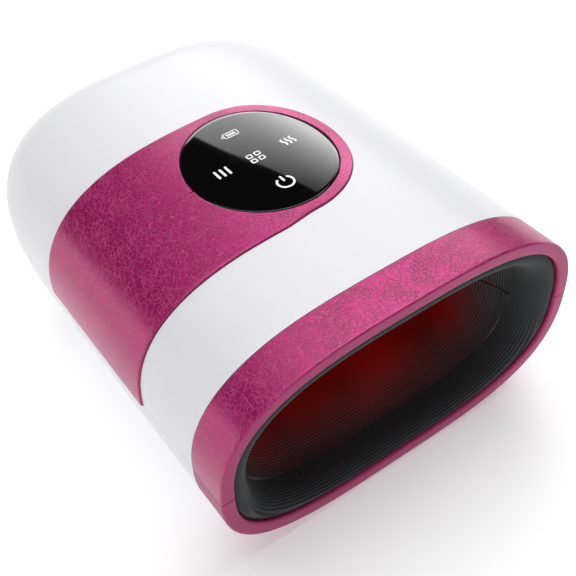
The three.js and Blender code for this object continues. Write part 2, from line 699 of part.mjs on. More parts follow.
// The pocket's form, from the roll's inner edge to its deep, even stretch
function pocketForm(side, grow, drawIn) {
  const endInset = side > 0 ? roll.topInset : roll.floorInset;
  const near = mouthForm(side, roll.sideInset + fitGap + drawIn - grow, endInset + fitGap - grow, innerSteps);
  const depth = side > 0 ? pocket.above : pocket.below;
  const deep = plainForm(side, pocket.half + grow - drawIn, depth + grow, pocketPowers);
  return (y) => {
    const share = THREE.MathUtils.smoothstep(y, roll.back, pocket.deepFrom);
    return between(near(y), deep(y), share);
  };
}

function pocketSolid(side, grow, front, legs, drawIn) {
  const form = pocketForm(side, grow, drawIn);
  const drawn = pocketForm(side, grow - pocket.endRound / 2, drawIn);
  const end = pocket.end + grow - drawIn;
  const steps = [front, ...[1, 2, 3].map((i) => roll.back + ((pocket.deepFrom - roll.back) * i) / 4), pocket.deepFrom];
  const rings = [...steps, end - pocket.endRound].map(form);
  rings.push(drawn(end - pocket.endRound / 4), pocketForm(side, grow - pocket.endRound, drawIn)(end));
  return loft(rings.map((ring) => {
    const [foot0, foot1] = [ring[0], ring.at(-1)].map((p) => leaned(p.x, p.y, -side * legs));
    return legs > 0 ? [foot0, ...ring, foot1] : ring;
  }));
}

function pocketVault() {
  const front = roll.back + fitGap;
  const outer = pocketSolid(1, fabric, front, pocket.legs, 0);
  return outer.subtract(pocketSolid(1, 0, front - overrun, pocket.legs + overrun, 0));
}

function pocketFloor() {
  const front = roll.back + fitGap;
  const drawIn = fabric + pocket.lapGap;
  const outer = pocketSolid(-1, fabric, front, 0, drawIn);
  const sheet = outer.subtract(pocketSolid(-1, 0, front - overrun, overrun, drawIn));
  return sheet.intersect(beyondParting(-1, pocket.floorTop));
}

function frameVault(side, tails) {
  const height = side > 0 ? frame.above : frame.below;
  const powers = side > 0 ? frameUpperPowers : frameLowerPowers;
  const outer = plainForm(side, frame.half, height, powers);
  const inner = plainForm(side, frame.half - frameWall, height - frameWall, powers);
  const hollow = loft([frame.front - overrun, frame.back - frameWall].map(inner));
  let vault = loft([frame.front, frame.back].map(outer)).subtract(hollow);
  for (const { x, z } of tails) {
    vault = vault.subtract(rodY(bagTail.radius + bagTail.gap, [frame.back - overrun, frame.back + overrun], x, z));
  }
  return vault;
}

function upperFrame() {
  let vault = frameVault(1, [{ x: upperTailX, z: upperBagMiddle }]);
  for (const x of [mainBoard.padInset - mainBoard.half, mainBoard.half - mainBoard.padInset]) {
    for (const z of [mainBoard.bottom + mainBoard.padInset, mainBoardTop - mainBoard.padInset]) {
      const y = [frame.back - frameWall / 2, frame.back + mainBoard.standoff];
      vault = vault.add(rodY(mainBoard.padRadius, y, x, z, smallSides));
    }
  }
  return vault.intersect(beyondParting(1, partHalf));
}

function lowerFrame() {
  const vault = frameVault(-1, [{ x: palmHoseX, z: palmBagMiddle }]);
  return vault.intersect(beyondParting(-1, partHalf));
}

// An air bag: two welded sheets with a swollen middle and a tail for its hose
function airBag(middle, tailX) {
  const outline = (inset) => roundedRectangle([inset - bagHalf, bagHalf - inset], [bagFront + inset, bagBack - inset], bag.corner - inset);
  const half = bag.thick / 2;
  const rim = half / 4;
  const body = prism(outline(0), [middle - rim, middle + rim], 4)
    .add(prism(outline(half / 2), [middle - half * 0.7, middle + half * 0.7], 4))
    .add(prism(outline(half), [middle - half, middle + half], 4));
  return body.add(rodY(bagTail.radius, [bagBack - bag.corner, bagTailEnd], tailX, middle, smallSides));
}

function padPlate(z) {
  return prism(roundedRectangle([-padHalf, padHalf], [padFront, padBack], pad.corner), z, 4);
}

function thermalFuse() {
  const z = upperBagBottom + fuse.radius;
  return rodX(fuse.radius, [-fuse.length / 2, fuse.length / 2], padBack - fuse.fromBack, z);
}

function palmPlate() {
  const outline = roundedRectangle([-palmHalf, palmHalf], [padFront, padBack], pad.corner);
  let plate = prism(outline, [plateBottom, plateTop], 4);
  for (let i = 0; i < palm.columns; i += 1) {
    for (let j = 0; j < palm.rows; j += 1) {
      const x = (palmHalf - palm.marginX) * ((2 * i) / (palm.columns - 1) - 1);
      const y = padFront + palm.marginY + ((padBack - padFront - 2 * palm.marginY) * j) / (palm.rows - 1);
      plate = plate.add(nub(x, y));
    }
  }
  return plate;
}

function nub(x, y) {
  const profile = [[0, nubTop], [palm.nubRadius / 2, nubTop - palm.nubHeight / 6], [palm.nubRadius, plateTop - fitGap], [0, plateTop - fitGap]];
  return turned(profile, x, y, 6);
}

// A body turned about an upright axis, from a profile of radius and height
function turned(profile, x, y, sides = fineSides) {
  const geometry = new THREE.LatheGeometry(profile.map(([r, z]) => new THREE.Vector2(r, z)), sides);
  geometry.rotateX(Math.PI / 2);
  geometry.translate(x, y, 0);
  const bare = geometry.clone();
  bare.deleteAttribute('normal');
  bare.deleteAttribute('uv');
  const merged = mergeVertices(bare, weld);
  const position = merged.attributes.position;
  const points = Array.from({ length: position.count }, (_, i) => new THREE.Vector3().fromBufferAttribute(position, i));
  const faces = [];
  for (let i = 0; i < merged.index.count; i += 3) {
    const face = [0, 1, 2].map((k) => merged.index.getX(i + k));
    if (new Set(face).size === 3) faces.push(face);
  }
  return closedBody(points, faces);
}

function rubberFoot({ x, y }) {
  const top = foot.pocket - bellyDepth - fitGap;
  const base = -bellyDepth - foot.stand;
  const profile = [[0, top], [foot.radius, top], [foot.radius, base + foot.chamfer], [foot.radius - foot.chamfer, base], [0, base]];
  return turned(profile, x, y);
}

function casingScrew({ x, y }) {
  const seat = -boss.seatBelow - fitGap;
  const shaft = rodZ(screw.shaftRadius, [seat - screw.headHeight, screw.bite], x, y, smallSides);
  return shaft.add(rodZ(screw.headRadius, [seat - screw.headHeight, seat], x, y));
}

function touchBoardBody() {
  const outline = ellipse(panel.x, panel.y, touchBoard.halfWidth, touchBoard.halfLength);
  return prism(outline, [touchBoardTop - touchBoard.thick, touchBoardTop], fineSides);
}

// Flat cable from the touch board, over the frame, down to the main board
function touchRibbon() {
  const start = panel.y + touchBoard.halfLength + fitGap;
  const level = touchBoardTop - touchBoard.thick / 2;
  const turnY = frame.back - ribbon.turnIn;
  const turnZ = frame.above + ribbon.turnRise;
  const backY = (boardFront + boardBack) / 2;
  const spine = [
    [start, level],
    [(start + turnY) / 2, (level + turnZ) / 2 + ribbon.sag / 4],
    [turnY, turnZ],
    [(turnY + backY) / 2, turnZ - ribbon.sag],
    [backY, mainBoardTop + ribbon.lead],
    [backY, mainBoardTop + fitGap],
  ].map(([y, z]) => new THREE.Vector2(y, z));
  const sides = [1, -1].map((side) => spine.map((p, i) => {
    const ahead = spine[Math.min(i + 1, spine.length - 1)];
    const behind = spine[Math.max(i - 1, 0)];
    const along = ahead.clone().sub(behind).normalize();
    return new THREE.Vector2(p.x - along.y * side * ribbon.thick / 2, p.y + along.x * side * ribbon.thick / 2);
  }));
  const shape = new THREE.Shape([...sides[1], ...sides[0].reverse()]);
  const geometry = new THREE.ExtrudeGeometry(shape, { depth: ribbon.width, bevelEnabled: false });
  const axes = [[0, 1, 0], [0, 0, 1], [1, 0, 0]].map((a) => new THREE.Vector3(...a));
  geometry.applyMatrix4(new THREE.Matrix4().makeBasis(...axes));
  geometry.translate(ribbon.x - ribbon.width / 2, 0, 0);
  return solid(geometry);
}

function onBoard(upShare) {
  return mainBoard.bottom + (mainBoardTop - mainBoard.bottom) * upShare;
}

function mainBoardBody() {
  let board = block([-mainBoard.half, mainBoard.half], [boardFront, boardBack], [mainBoard.bottom, mainBoardTop]);
  for (const part of [processor, chargeCoil, ribbonSocket]) {
    const x = mainBoard.half * part.acrossShare;
    const z = onBoard(part.upShare);
    const y = [boardBack - mainBoard.thick / 2, boardBack + part.height];
    const body = block([x - part.width / 2, x + part.width / 2], y, [z - part.tall / 2, z + part.tall / 2]);
    board = board.add(body);
  }
  return board;
}

function buzzerBody() {
  const front = boardBack + fitGap;
  return rodY(buzzer.radius, [front, front + buzzer.height], mainBoard.half - buzzer.fromSide, onBoard(buzzer.upShare));
}

function pumpMotor() {
  const nose = rodX(motor.noseRadius, [motorEnd - motor.nose, motorEnd + motor.nose], pump.y, pump.z);
  const bore = [motorEnd + motor.nose - motor.boreDepth, motorEnd + overrun];
  const can = rodX(motor.radius, [pump.left, motorEnd], pump.y, pump.z, fineSides).add(nose);
  return can.subtract(rodX(rotor.shaftRadius + rotor.boreGap, bore, pump.y, pump.z));
}

function motorSleeve() {
  const x = [pump.left + sleeve.inset, pump.left + sleeve.inset + sleeve.length];
  const inner = motor.radius + fitGap;
  const hollow = rodX(inner, [x[0] - overrun, x[1] + overrun], pump.y, pump.z, fineSides);
  return rodX(inner + sleeve.wall, x, pump.y, pump.z, fineSides).subtract(hollow);
}

function crankCase() {
  const hollow = rodX(crank.radius - crank.wall, [crankStart - overrun, crankEnd - crank.wall], pump.y, pump.z, fineSides);
  const throat = rodX(crank.mouthRadius, [crankStart, crankEnd + overrun], pump.y, pump.z);
  return rodX(crank.radius, [crankStart, crankEnd], pump.y, pump.z, fineSides).subtract(hollow).subtract(throat);
}

function pumpDiaphragm() {
  return rodX(diaphragm.radius, [diaphragmStart, diaphragmStart + diaphragm.thick], pump.y, pump.z, fineSides);
}

function pumpCover() {
  const drum = rodX(cover.radius, [coverStart, coverEnd], pump.y, pump.z, fineSides);
  const top = pump.z + cover.radius + cover.nozzle;
  return drum.add(rodZ(cover.nozzleRadius, [pump.z, top], nozzleX, pump.y, smallSides));
}

function pumpRotor() {
  const shaftStart = motorEnd + motor.nose - motor.boreDepth + fitGap;
  const shaftEnd = shaftStart + rotor.length;
  const cam = rodX(rotor.camRadius, [shaftEnd - rotor.camThick, shaftEnd], pump.y, pump.z + rotor.camOffset);
  return rodX(rotor.shaftRadius, [shaftStart, shaftEnd], pump.y, pump.z, smallSides).add(cam);
}

function airManifold() {
  const y = [pump.y - manifold.depth / 2, pump.y + manifold.depth / 2];
  let bar = block([manifoldLeft, manifoldRight], y, [manifoldBottom, manifoldTop]);
  for (const x of [nozzleX, palmHoseX]) {
    bar = bar.add(rodZ(manifold.nozzleRadius, [manifoldBottom - manifold.nozzle, manifoldTop - overrun], x, pump.y, smallSides));
  }
  const side = [manifoldLeft - manifold.nozzle, manifoldLeft + overrun];
  return bar.add(rodX(manifold.nozzleRadius, side, pump.y, (manifoldBottom + manifoldTop) / 2, smallSides));
}

function valveBody(x) {
  const y = [boardBack + fitGap, boardBack + fitGap + valve.depth];
  const can = block([x - valve.half, x + valve.half], y, [valveBottom, valveTop]);
  return can.subtract(rodZ(valve.boreRadius, [valveTop - valve.boreDepth, valveTop + overrun], x, valveY));
}

function valvePlunger(x) {
  const headBottom = valveTop + plunger.lift;
  const stem = rodZ(plunger.radius, [headBottom + plunger.head - plunger.length, headBottom + plunger.head], x, valveY);
  return stem.add(rodZ(plunger.headRadius, [headBottom, headBottom + plunger.head], x, valveY));
}

class Helix extends THREE.Curve {
  constructor(x, y, z, radius, turns) {
    super();
    Object.assign(this, { x, y, z, radius, turns });
  }

  getPoint(t, target = new THREE.Vector3()) {
    const angle = 2 * Math.PI * this.turns * t;
    const height = this.z[0] + (this.z[1] - this.z[0]) * t;
    return target.set(this.x + this.radius * Math.cos(angle), this.y + this.radius * Math.sin(angle), height);
  }
}

function valveSpring(x) {
  const z = [valveTop + fitGap + coil.wire, valveTop + plunger.lift - fitGap - coil.wire];
  const path = new Helix(x, valveY, z, coil.radius, coil.turns);
  return solid(new THREE.ExtrudeGeometry(polygon(coil.wire, coil.sides), { extrudePath: path, steps: coil.turns * coil.steps, curveSegments: 1 }));
}

function pumpHose() {
  const bottom = pump.z + cover.radius + cover.nozzle + fitGap;
  const top = manifoldBottom - manifold.nozzle - fitGap;
  return rodZ(hose.radius, [bottom, top], nozzleX, pump.y, hose.sides);
}

// Runs back between the valves, round behind the upper one and down to the manifold's end
function upperHose() {
  const port0 = manifoldLeft - manifold.nozzle - fitGap;
  const level = (manifoldBottom + manifoldTop) / 2;
  const start = bagTailEnd + fitGap;
  const behind = valveY + valve.depth / 2 + hose.lead;
  const low = (upperBagMiddle + level) / 2;
  return tube([
    [upperTailX, start, upperBagMiddle],
    [upperTailX, start + hose.lead, upperBagMiddle],
    [upperTailX, behind - hose.lead, upperBagMiddle - hose.dip],
    [upperTailX - hose.lead, behind, upperBagMiddle - 2 * hose.dip],
    [upperValveX, behind, upperBagMiddle - 3 * hose.dip],
    [manifoldLeft - hose.lead, behind, low + hose.lead],
    [port0 - 2 * hose.lead, (behind + pump.y) / 2, low - hose.lead],
    [port0 - 2 * hose.lead, pump.y, level + hose.dip],
    [port0 - hose.lead, pump.y, level],
    [port0, pump.y, level],
  ], hose.radius, hose.steps);
}

function palmHose() {
  const start = bagTailEnd + fitGap;
  const top = manifoldBottom - manifold.nozzle - fitGap;
  return tube([
    [palmHoseX, start, palmBagMiddle],
    [palmHoseX, start + hose.lead, palmBagMiddle],
    [palmHoseX, pump.y - hose.dip, palmBagMiddle + hose.lead],
    [palmHoseX, pump.y, palmBagMiddle + 3 * hose.lead],
    [palmHoseX, pump.y, top - hose.lead],
    [palmHoseX, pump.y, top],
  ], hose.radius, hose.steps);
}

function batteryHolder() {
  const span = battery.radius + battery.cellGap + battery.wall;
  const ends = battery.cellGap + battery.wall;
  const z = [cellZ - span, cellZ + battery.pitch + span];
  let holder = block([cellLeft - ends, cellRight + ends], [cellY - span, cellY + battery.openBehind], z);
  for (const k of [0, 1]) {
    const room = [cellLeft - battery.cellGap, cellRight + battery.cellGap];
    holder = holder.subtract(rodX(battery.radius + battery.cellGap, room, cellY, cellZ + k * battery.pitch, fineSides));
  }
  return holder;
}

function batteryCell(k) {
  return rodX(battery.radius, [cellLeft, cellRight], cellY, cellZ + k * battery.pitch, fineSides);
}

// Assembly
const massager = new THREE.Group();

function put(name, body, material) {
  massager.add(meshOf(body, name, material));
}

put('upper_shell', upperShell(), whiteShell);
put('lower_shell', lowerShell(), whiteShell);
put('accent_band', accentBand(), pinkTrim);
put('touch_panel_glass', touchGlass(), blackGlass);
put('front_bezel_upper', bezelHalf(1), pinkTrim);
put('front_bezel_lower', bezelHalf(-1), pinkSmooth);
feet.forEach((place, i) => put(`rubber_foot_${i + 1}`, rubberFoot(place), blackRubber));
bosses.forEach((place, i) => put(`casing_screw_${i + 1}`, casingScrew(place), steel));

put('pocket_mouth_roll', pocketMouth(), greyFabric);
put('pocket_vault_fabric', pocketVault(), greyFabric);
put('pocket_floor_fabric', pocketFloor(), greyFabric);
put('upper_frame', upperFrame(), framePlastic);
put('lower_frame', lowerFrame(), framePlastic);
put('upper_air_bag', airBag(upperBagMiddle, upperTailX), airBagVinyl);
put('palm_air_bag', airBag(palmBagMiddle, palmHoseX), airBagVinyl);
put('heating_film', padPlate([filmBottom, filmBottom + pad.film]), heatFilm);
put('upper_press_pad', padPlate([foamBottom, foamBottom + pad.foam]), foamPad);
put('thermal_fuse', thermalFuse(), steel);
put('palm_plate', palmPlate(), framePlastic);

put('touch_board', touchBoardBody(), greenBoard);
put('touch_ribbon', touchRibbon(), ribbonFilm);
put('main_board', mainBoardBody(), greenBoard);
put('buzzer', buzzerBody(), pumpPlastic);
put('charge_board', chargeBoard(), greenBoard);
put('charge_socket', chargeSocket(), steel);

put('pump_motor', pumpMotor(), steel);
put('pump_motor_sleeve', motorSleeve(), blackRubber);
put('pump_crank_case', crankCase(), pumpPlastic);
put('pump_diaphragm', pumpDiaphragm(), blackRubber);
put('pump_cover', pumpCover(), pumpPlastic);
put('pump_rotor', pumpRotor(), steel);
put('pump_hose', pumpHose(), clearHose);
put('air_manifold', airManifold(), pumpPlastic);
put('upper_bag_hose', upperHose(), clearHose);
put('palm_bag_hose', palmHose(), clearHose);
for (const [name, x] of [['upper', upperValveX], ['palm', palmValveX]]) {
  put(`${name}_valve_body`, valveBody(x), brass);
  put(`${name}_valve_plunger`, valvePlunger(x), steel);
  put(`${name}_valve_spring`, valveSpring(x), steel);
}
put('battery_holder', batteryHolder(), pumpPlastic);
for (const k of [0, 1]) put(`battery_cell_${k + 1}`, batteryCell(k), cellWrap);

// The origin goes under the middle of the whole, on the surface that the feet stand on
const bounds = new THREE.Box3().setFromObject(massager);
const middle = bounds.getCenter(new THREE.Vector3());
massager.position.set(-middle.x, -middle.y, -bounds.min.z);

export default massager;
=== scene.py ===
# %% [markdown]
# # A cordless hand massager
# The imported CAD model is the frame of this scene: every piece made below stands at its place in metres and most move
# with one of its bodies. The outside is modelled again from the same named sizes, with far finer faces than the solids
# have, because a glossy moulded housing shows every facet. What is inside keeps its CAD mesh where that is fine enough.

# %% Load the imported model
import json
import math

import bmesh
import bpy
from mathutils import Matrix, Vector, noise


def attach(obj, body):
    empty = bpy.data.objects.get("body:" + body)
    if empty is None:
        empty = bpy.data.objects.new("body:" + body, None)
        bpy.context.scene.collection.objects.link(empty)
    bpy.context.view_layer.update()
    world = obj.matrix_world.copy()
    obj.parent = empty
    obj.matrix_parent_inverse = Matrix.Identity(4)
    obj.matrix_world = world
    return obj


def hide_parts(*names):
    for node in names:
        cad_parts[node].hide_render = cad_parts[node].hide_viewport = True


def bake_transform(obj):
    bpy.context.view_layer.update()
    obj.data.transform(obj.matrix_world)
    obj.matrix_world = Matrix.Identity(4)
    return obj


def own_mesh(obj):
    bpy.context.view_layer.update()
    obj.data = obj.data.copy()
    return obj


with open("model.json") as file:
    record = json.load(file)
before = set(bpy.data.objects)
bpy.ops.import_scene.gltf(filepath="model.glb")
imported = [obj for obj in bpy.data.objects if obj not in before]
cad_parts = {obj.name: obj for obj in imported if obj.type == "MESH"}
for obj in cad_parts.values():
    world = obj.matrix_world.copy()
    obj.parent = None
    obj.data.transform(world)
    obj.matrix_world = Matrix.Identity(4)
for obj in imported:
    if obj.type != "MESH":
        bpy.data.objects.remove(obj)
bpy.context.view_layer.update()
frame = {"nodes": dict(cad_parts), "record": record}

# %% [markdown]
# ## Sizes
# All sizes are millimetres in the drawing's own frame: x across, y from the mouth to the back, z up from the parting
# line. One function moves a point from there to the scene. Every later form is read from these few numbers, so that the
# band, the shells and the bezel keep their even gaps.

# %% Sizes of the drawing
DRAWING_ORIGIN = Vector((0.2731, -108.8773, 50.7))
CASING_HALF, CASING_LENGTH = 85, 221.4
CROWN, BELLY = 53.1, 48.7
BACK_ROUND, BACK_SLOPE = 78.7, 30.6
LEAN, CROWN_FALL, PLAN_TAPER = 0.07, 0.154, 0.016
PLAN_POWER, SLOPE_POWER = 3.88, 2.89
CASING_POWERS = {1: (3.055, 2.374), -1: (3.605, 2.497)}
MOUTH_HALF, MOUTH_HEIGHT = 78.75, {1: 47.0, -1: 41.9}
MOUTH_POWERS = {1: (3.003, 2.641), -1: (3.351, 2.822)}
SHELL_WALL, SHELL_FRONT, PARTING = 2.8, 20.2, 0.15
PANEL_X, PANEL_Y, PANEL_HALF, PANEL_LONG = 4.3, 100.892, 31.5, 36.2
BAND_RING, BAND_FRONT, BAND_BACK = 5.2, 57.692, 137.392
BAND_PROUD, BAND_DEPTH, BAND_SEAT, GLASS_PROUD = 0.9, 1.3, 1.6, 0.95
FIT_GAP = 0.3


def place(x, y, z):
    """A point of the drawing, in the scene's metres."""
    return (Vector((x, y, z)) + DRAWING_ORIGIN) * 0.001


# %% [markdown]
# ## The casing's form
# The real housing is injection moulded: its section is a rounded arch above the parting line and another below it, its
# plan closes in a broad round at the back, and its mouth leans forwards. It could be pushed out of a cube with
# subdivision, but a form in numbers gives band, panel, shells and bezel the very same surface at different depths.

# %% The casing as a form
QUARTER = math.pi / 2


def clamp(share):
    """A share kept between 0 and 1."""
    return min(1.0, max(0.0, share))


def gentle(share):
    """A share that starts and stops softly."""
    return share * share * (3 - 2 * share)


def closing(y, start, end, power):
    """How far a round end has closed: 1 before its start, 0 at its end."""
    return (1 - clamp((y - start) / (end - start)) ** power) ** (1 / power)


def arch(half, height, powers, angle):
    """A point of a superellipse arch, from angle 0 at the right foot to pi at the left one."""
    cosine, sine = math.cos(angle), abs(math.sin(angle))
    across = math.copysign(abs(cosine) ** (2 / powers[0]), cosine)
    return half * across, height * sine ** (2 / powers[1])


def leaned(x, y, z):
    """The mouth's face leans out at the top, and the lean fades to nothing at the back."""
    return Vector((x, y - LEAN * z * (1 - y / CASING_LENGTH), z))


def casing(angle, y, grow=0.0, side=1):
    """The casing's surface at a station, grown or shrunk by some millimetres: side 1 is the crown, -1 the belly."""
    end = CASING_LENGTH + grow
    fall = CROWN_FALL if side > 0 else 0
    plan = closing(y, CASING_LENGTH - BACK_ROUND, end, PLAN_POWER) * (1 - PLAN_TAPER * y / CASING_LENGTH)
    slope = closing(y, CASING_LENGTH - BACK_SLOPE, end, SLOPE_POWER) * (1 - fall * y / CASING_LENGTH)
    height = CROWN if side > 0 else BELLY
    x, z = arch((CASING_HALF + grow) * plan, (height + grow) * slope, CASING_POWERS[side], angle)
    return leaned(x, y, side * z)


def over(x, y, grow, side=1):
    """The casing's surface straight above a point of the plan, or straight below it with side -1. The lean moves the
    station that a point comes from, so it is closed in on in a few rounds."""
    station, powers = y, CASING_POWERS[side]
    for _ in range(12):
        taper = 1 - PLAN_TAPER * station / CASING_LENGTH
        plan = closing(station, CASING_LENGTH - BACK_ROUND, CASING_LENGTH + grow, PLAN_POWER)
        half = (CASING_HALF + grow) * taper * plan
        rise = (CROWN + grow) * (1 - CROWN_FALL * station / CASING_LENGTH) if side > 0 else BELLY + grow
        z = rise * (1 - min(1.0, abs(x) / half) ** powers[0]) ** (1 / powers[1])
        station = y + LEAN * side * z * (1 - station / CASING_LENGTH)
    return Vector((x, y, side * z))


def even_angles(half, height, powers, count, start=0.0, stop=math.pi):
    """Angles that cut an arch, or a part of it, into pieces of equal length."""
    fine = 60 * count
    angles = [start + (stop - start) * k / fine for k in range(fine + 1)]
    points = [Vector(arch(half, height, powers, a)) for a in angles]
    along = [0.0]
    for a, b in zip(points, points[1:]):
        along.append(along[-1] + (b - a).length)
    found, k = [], 0
    for i in range(count + 1):
        while k < fine and along[k] < along[-1] * i / count - 1e-9:
            k += 1
        found.append(angles[k])
    return found


def casing_angles(count, start=0.0, stop=math.pi, side=1):
    """Angles that cut the casing's arch into pieces of equal length."""
    return even_angles(CASING_HALF, CROWN if side > 0 else BELLY, CASING_POWERS[side], count, start, stop)


def spread(low, high, steps):
    """Evenly spaced values from low to high, both ends included."""
    return [low + (high - low) * k / steps for k in range(steps + 1)]


print("casing at the crown", casing(QUARTER, 0).to_tuple(2))

# %% [markdown]
# ## Grids that wrap round a form
# A plain grid is the start of nearly every piece here. Each of its corners is moved to its place on the form, corners
# that meet are welded, what is still open is capped, and the faces are turned outwards. That keeps the faces in even
# rows along the form, which is what a smooth reflection needs.

# %% Wrap a grid
def outward(bm):
    """Turns a closed body's faces outward. Its signed volume settles it where a folded sheet misleads the usual way."""
    bmesh.ops.recalc_face_normals(bm, faces=bm.faces)
    if bm.calc_volume(signed=True) < 0:
        bmesh.ops.reverse_faces(bm, faces=bm.faces)
    return bm


def capped(bm):
    """Closes every hole of a body and turns its faces outward."""
    bmesh.ops.holes_fill(bm, edges=[e for e in bm.edges if e.is_boundary], sides=0)
    return outward(bm)


def wrapped(columns, rows, corner, left_out=None):
    """A closed body from a grid: corner(i, j) is in the drawing's frame, left_out(i, j) names cells to delete."""
    bm = bmesh.new()
    bmesh.ops.create_grid(bm, x_segments=columns, y_segments=rows, size=0.5)
    if left_out:
        cells = [(f, f.calc_center_median()) for f in bm.faces]
        gone = [f for f, c in cells if left_out(int((c.x + 0.5) * columns), int((c.y + 0.5) * rows))]
        bmesh.ops.delete(bm, geom=gone, context="FACES")
    for v in bm.verts:
        v.co = place(*corner(round((v.co.x + 0.5) * columns), round((v.co.y + 0.5) * rows)))
    bmesh.ops.remove_doubles(bm, verts=bm.verts, dist=1e-6)
    return capped(bm)


def meshed(bm, name):
    """A mesh from a bmesh, which is freed."""
    mesh = bpy.data.meshes.new(name)
    bm.to_mesh(mesh)
    bm.free()
    return mesh


def joined(parts):
    """Several bmeshes as one."""
    whole = bmesh.new()
    for bm in parts:
        mesh = meshed(bm, "part")
        whole.from_mesh(mesh)
        bpy.data.meshes.remove(mesh)
    return whole


def shown(name, data):
    """A new object of the scene."""
    made = bpy.data.objects.new(name, data)
    bpy.context.scene.collection.objects.link(made)
    return made


SHARP = 35
inside = {}  # finishes of the inside, by material slot


def piece(name, bm, body, slot, stands_for=(), finishes=None, sharp=SHARP):
    """Makes an object of a bmesh, smooth except at edges sharper than some degrees, and hands it to its body."""
    mesh = meshed(bm, name)
    mesh.shade_smooth()
    mesh.set_sharp_from_angle(angle=math.radians(sharp))
    for finish in finishes or [inside[slot]]:
        mesh.materials.append(finish)
    made = shown(name, mesh)
    if body:
        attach(made, body)
    if stands_for:
        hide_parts(*stands_for)
    print(f"{name}: {len(mesh.polygons)} faces")
    return made


# %% [markdown]
# ## A way to write materials
# Colours are written as hex values and turned to linear light once. One small function adds a
# node, sets its values and links its inputs, so that each finish below reads as a short recipe.

# %% Material helpers
EASED = {"interpolation_type": "SMOOTHSTEP"}
COLOURS = {"data_type": "RGBA"}


def linear(hex_colour):
    """An sRGB hex value as linear RGBA."""
    parts = [int(hex_colour[i : i + 2], 16) / 255 for i in (1, 3, 5)]
    return (*[c / 12.92 if c <= 0.04045 else ((c + 0.055) / 1.055) ** 2.4 for c in parts], 1)


def feed(node, inputs):
    """Sets inputs by name or number, each to a value or to a socket; a node stands for its first output."""
    for key, value in inputs.items():
        if isinstance(value, bpy.types.Node):
            value = value.outputs[0]
        if isinstance(value, bpy.types.NodeSocket):
            node.id_data.links.new(value, node.inputs[key])
        else:
            node.inputs[key].default_value = value


def add(tree, kind, inputs=None, **settings):
    """Adds one shader node with its own settings and its inputs."""
    made = tree.nodes.new("ShaderNode" + kind)
    for key, value in settings.items():
        setattr(made, key, value)
    feed(made, inputs or {})
    return made


def finish(name, **values):
    """A new material with its shader's plain values set. Returns the material, its tree, the shader and coordinates."""
    material = bpy.data.materials.new(name)
    material.use_nodes = True
    tree = material.node_tree
    tree.nodes.clear()
    shader = add(tree, "BsdfPrincipled", {key.replace("_", " "): v for key, v in values.items()})
    add(tree, "OutputMaterial", {"Surface": shader})
    return material, tree, shader, add(tree, "TexCoord").outputs["Object"]


def per(millimetres):
    """The scale of a noise or cell texture whose features are so far apart."""
    return 1000 / millimetres


def mottled(tree, where, shader, low, high, size, rough=None, relief=None):
    """Colour between two shades, roughness between two values and a fine relief (its size and strength)."""
    cloud = add(tree, "TexNoise", {"Vector": where, "Scale": per(size), "Detail": 3})
    blend = add(tree, "Mix", {0: cloud, 6: linear(low), 7: linear(high)}, **COLOURS)
    feed(shader, {"Base Color": blend.outputs[2]})
    if rough:
        feed(shader, {"Roughness": add(tree, "MapRange", {"Value": cloud, "To Min": rough[0], "To Max": rough[1]})})
    if relief:
        grain = add(tree, "TexNoise", {"Vector": where, "Scale": per(relief[0]), "Detail": 2})
        feed(shader, {"Normal": add(tree, "Bump", {"Height": grain, "Strength": relief[1], "Distance": 0.0001})})


def plain(name, low, high, size, rough=None, relief=None, **values):
    """A whole finish that is mottled and no more."""
    material, tree, shader, where = finish(name, **values)
    mottled(tree, where, shader, low, high, size, rough, relief)
    return material


# %% [markdown]
# ## Finishes of the outside
# The housing is white ABS from a polished mould, with the faint waviness that all mouldings have. The trim is ABS with
# a satin metallic magenta paint over a mould that was etched with a leather crackle: uneven cells about 2 mm wide
# whose borders stand up as thin ridges, made paler by a painted highlight, and a fine grain between them.

# %% White housing, magenta trims, glass
# Polished white ABS: bright, with soft broad reflections.
white_shell = plain("white_abs_polished", "#E5E5E9", "#EBEBEF", 60, (0.34, 0.42), (4, 0.03), IOR=1.53)


def crackle(tree, where):
    """Thin raised borders of bent cells, 1 on a border: coarse ones, here and there broken by patches of finer ones."""
    bend = add(tree, "TexNoise", {"Vector": where, "Scale": per(2.4), "Detail": 3})
    shift = add(tree, "VectorMath", {0: bend.outputs["Color"], "Scale": 0.0024}, operation="SCALE")
    moved = add(tree, "VectorMath", {0: where, 1: shift}, operation="ADD")
    patches = add(tree, "TexNoise", {"Vector": where, "Scale": per(7), "Detail": 1})
    layers = []
    for cell, width, start, full, least in ((2.3, 0.075, 0.3, 0.44, 0.35), (1.5, 0.085, 0.5, 0.62, 0.0)):
        cells = add(tree, "TexVoronoi", {"Vector": moved, "Scale": per(cell)}, feature="DISTANCE_TO_EDGE")
        ridge = add(tree, "MapRange", {"Value": cells, "From Max": width, "To Min": 1.0, "To Max": 0.0}, **EASED)
        there = add(tree, "MapRange", {"Value": patches, "From Min": start, "From Max": full, "To Min": least})
        layers.append(add(tree, "Math", {0: ridge, 1: there}, operation="MULTIPLY"))
    return add(tree, "Math", {0: layers[0], 1: layers[1]}, operation="MAXIMUM")


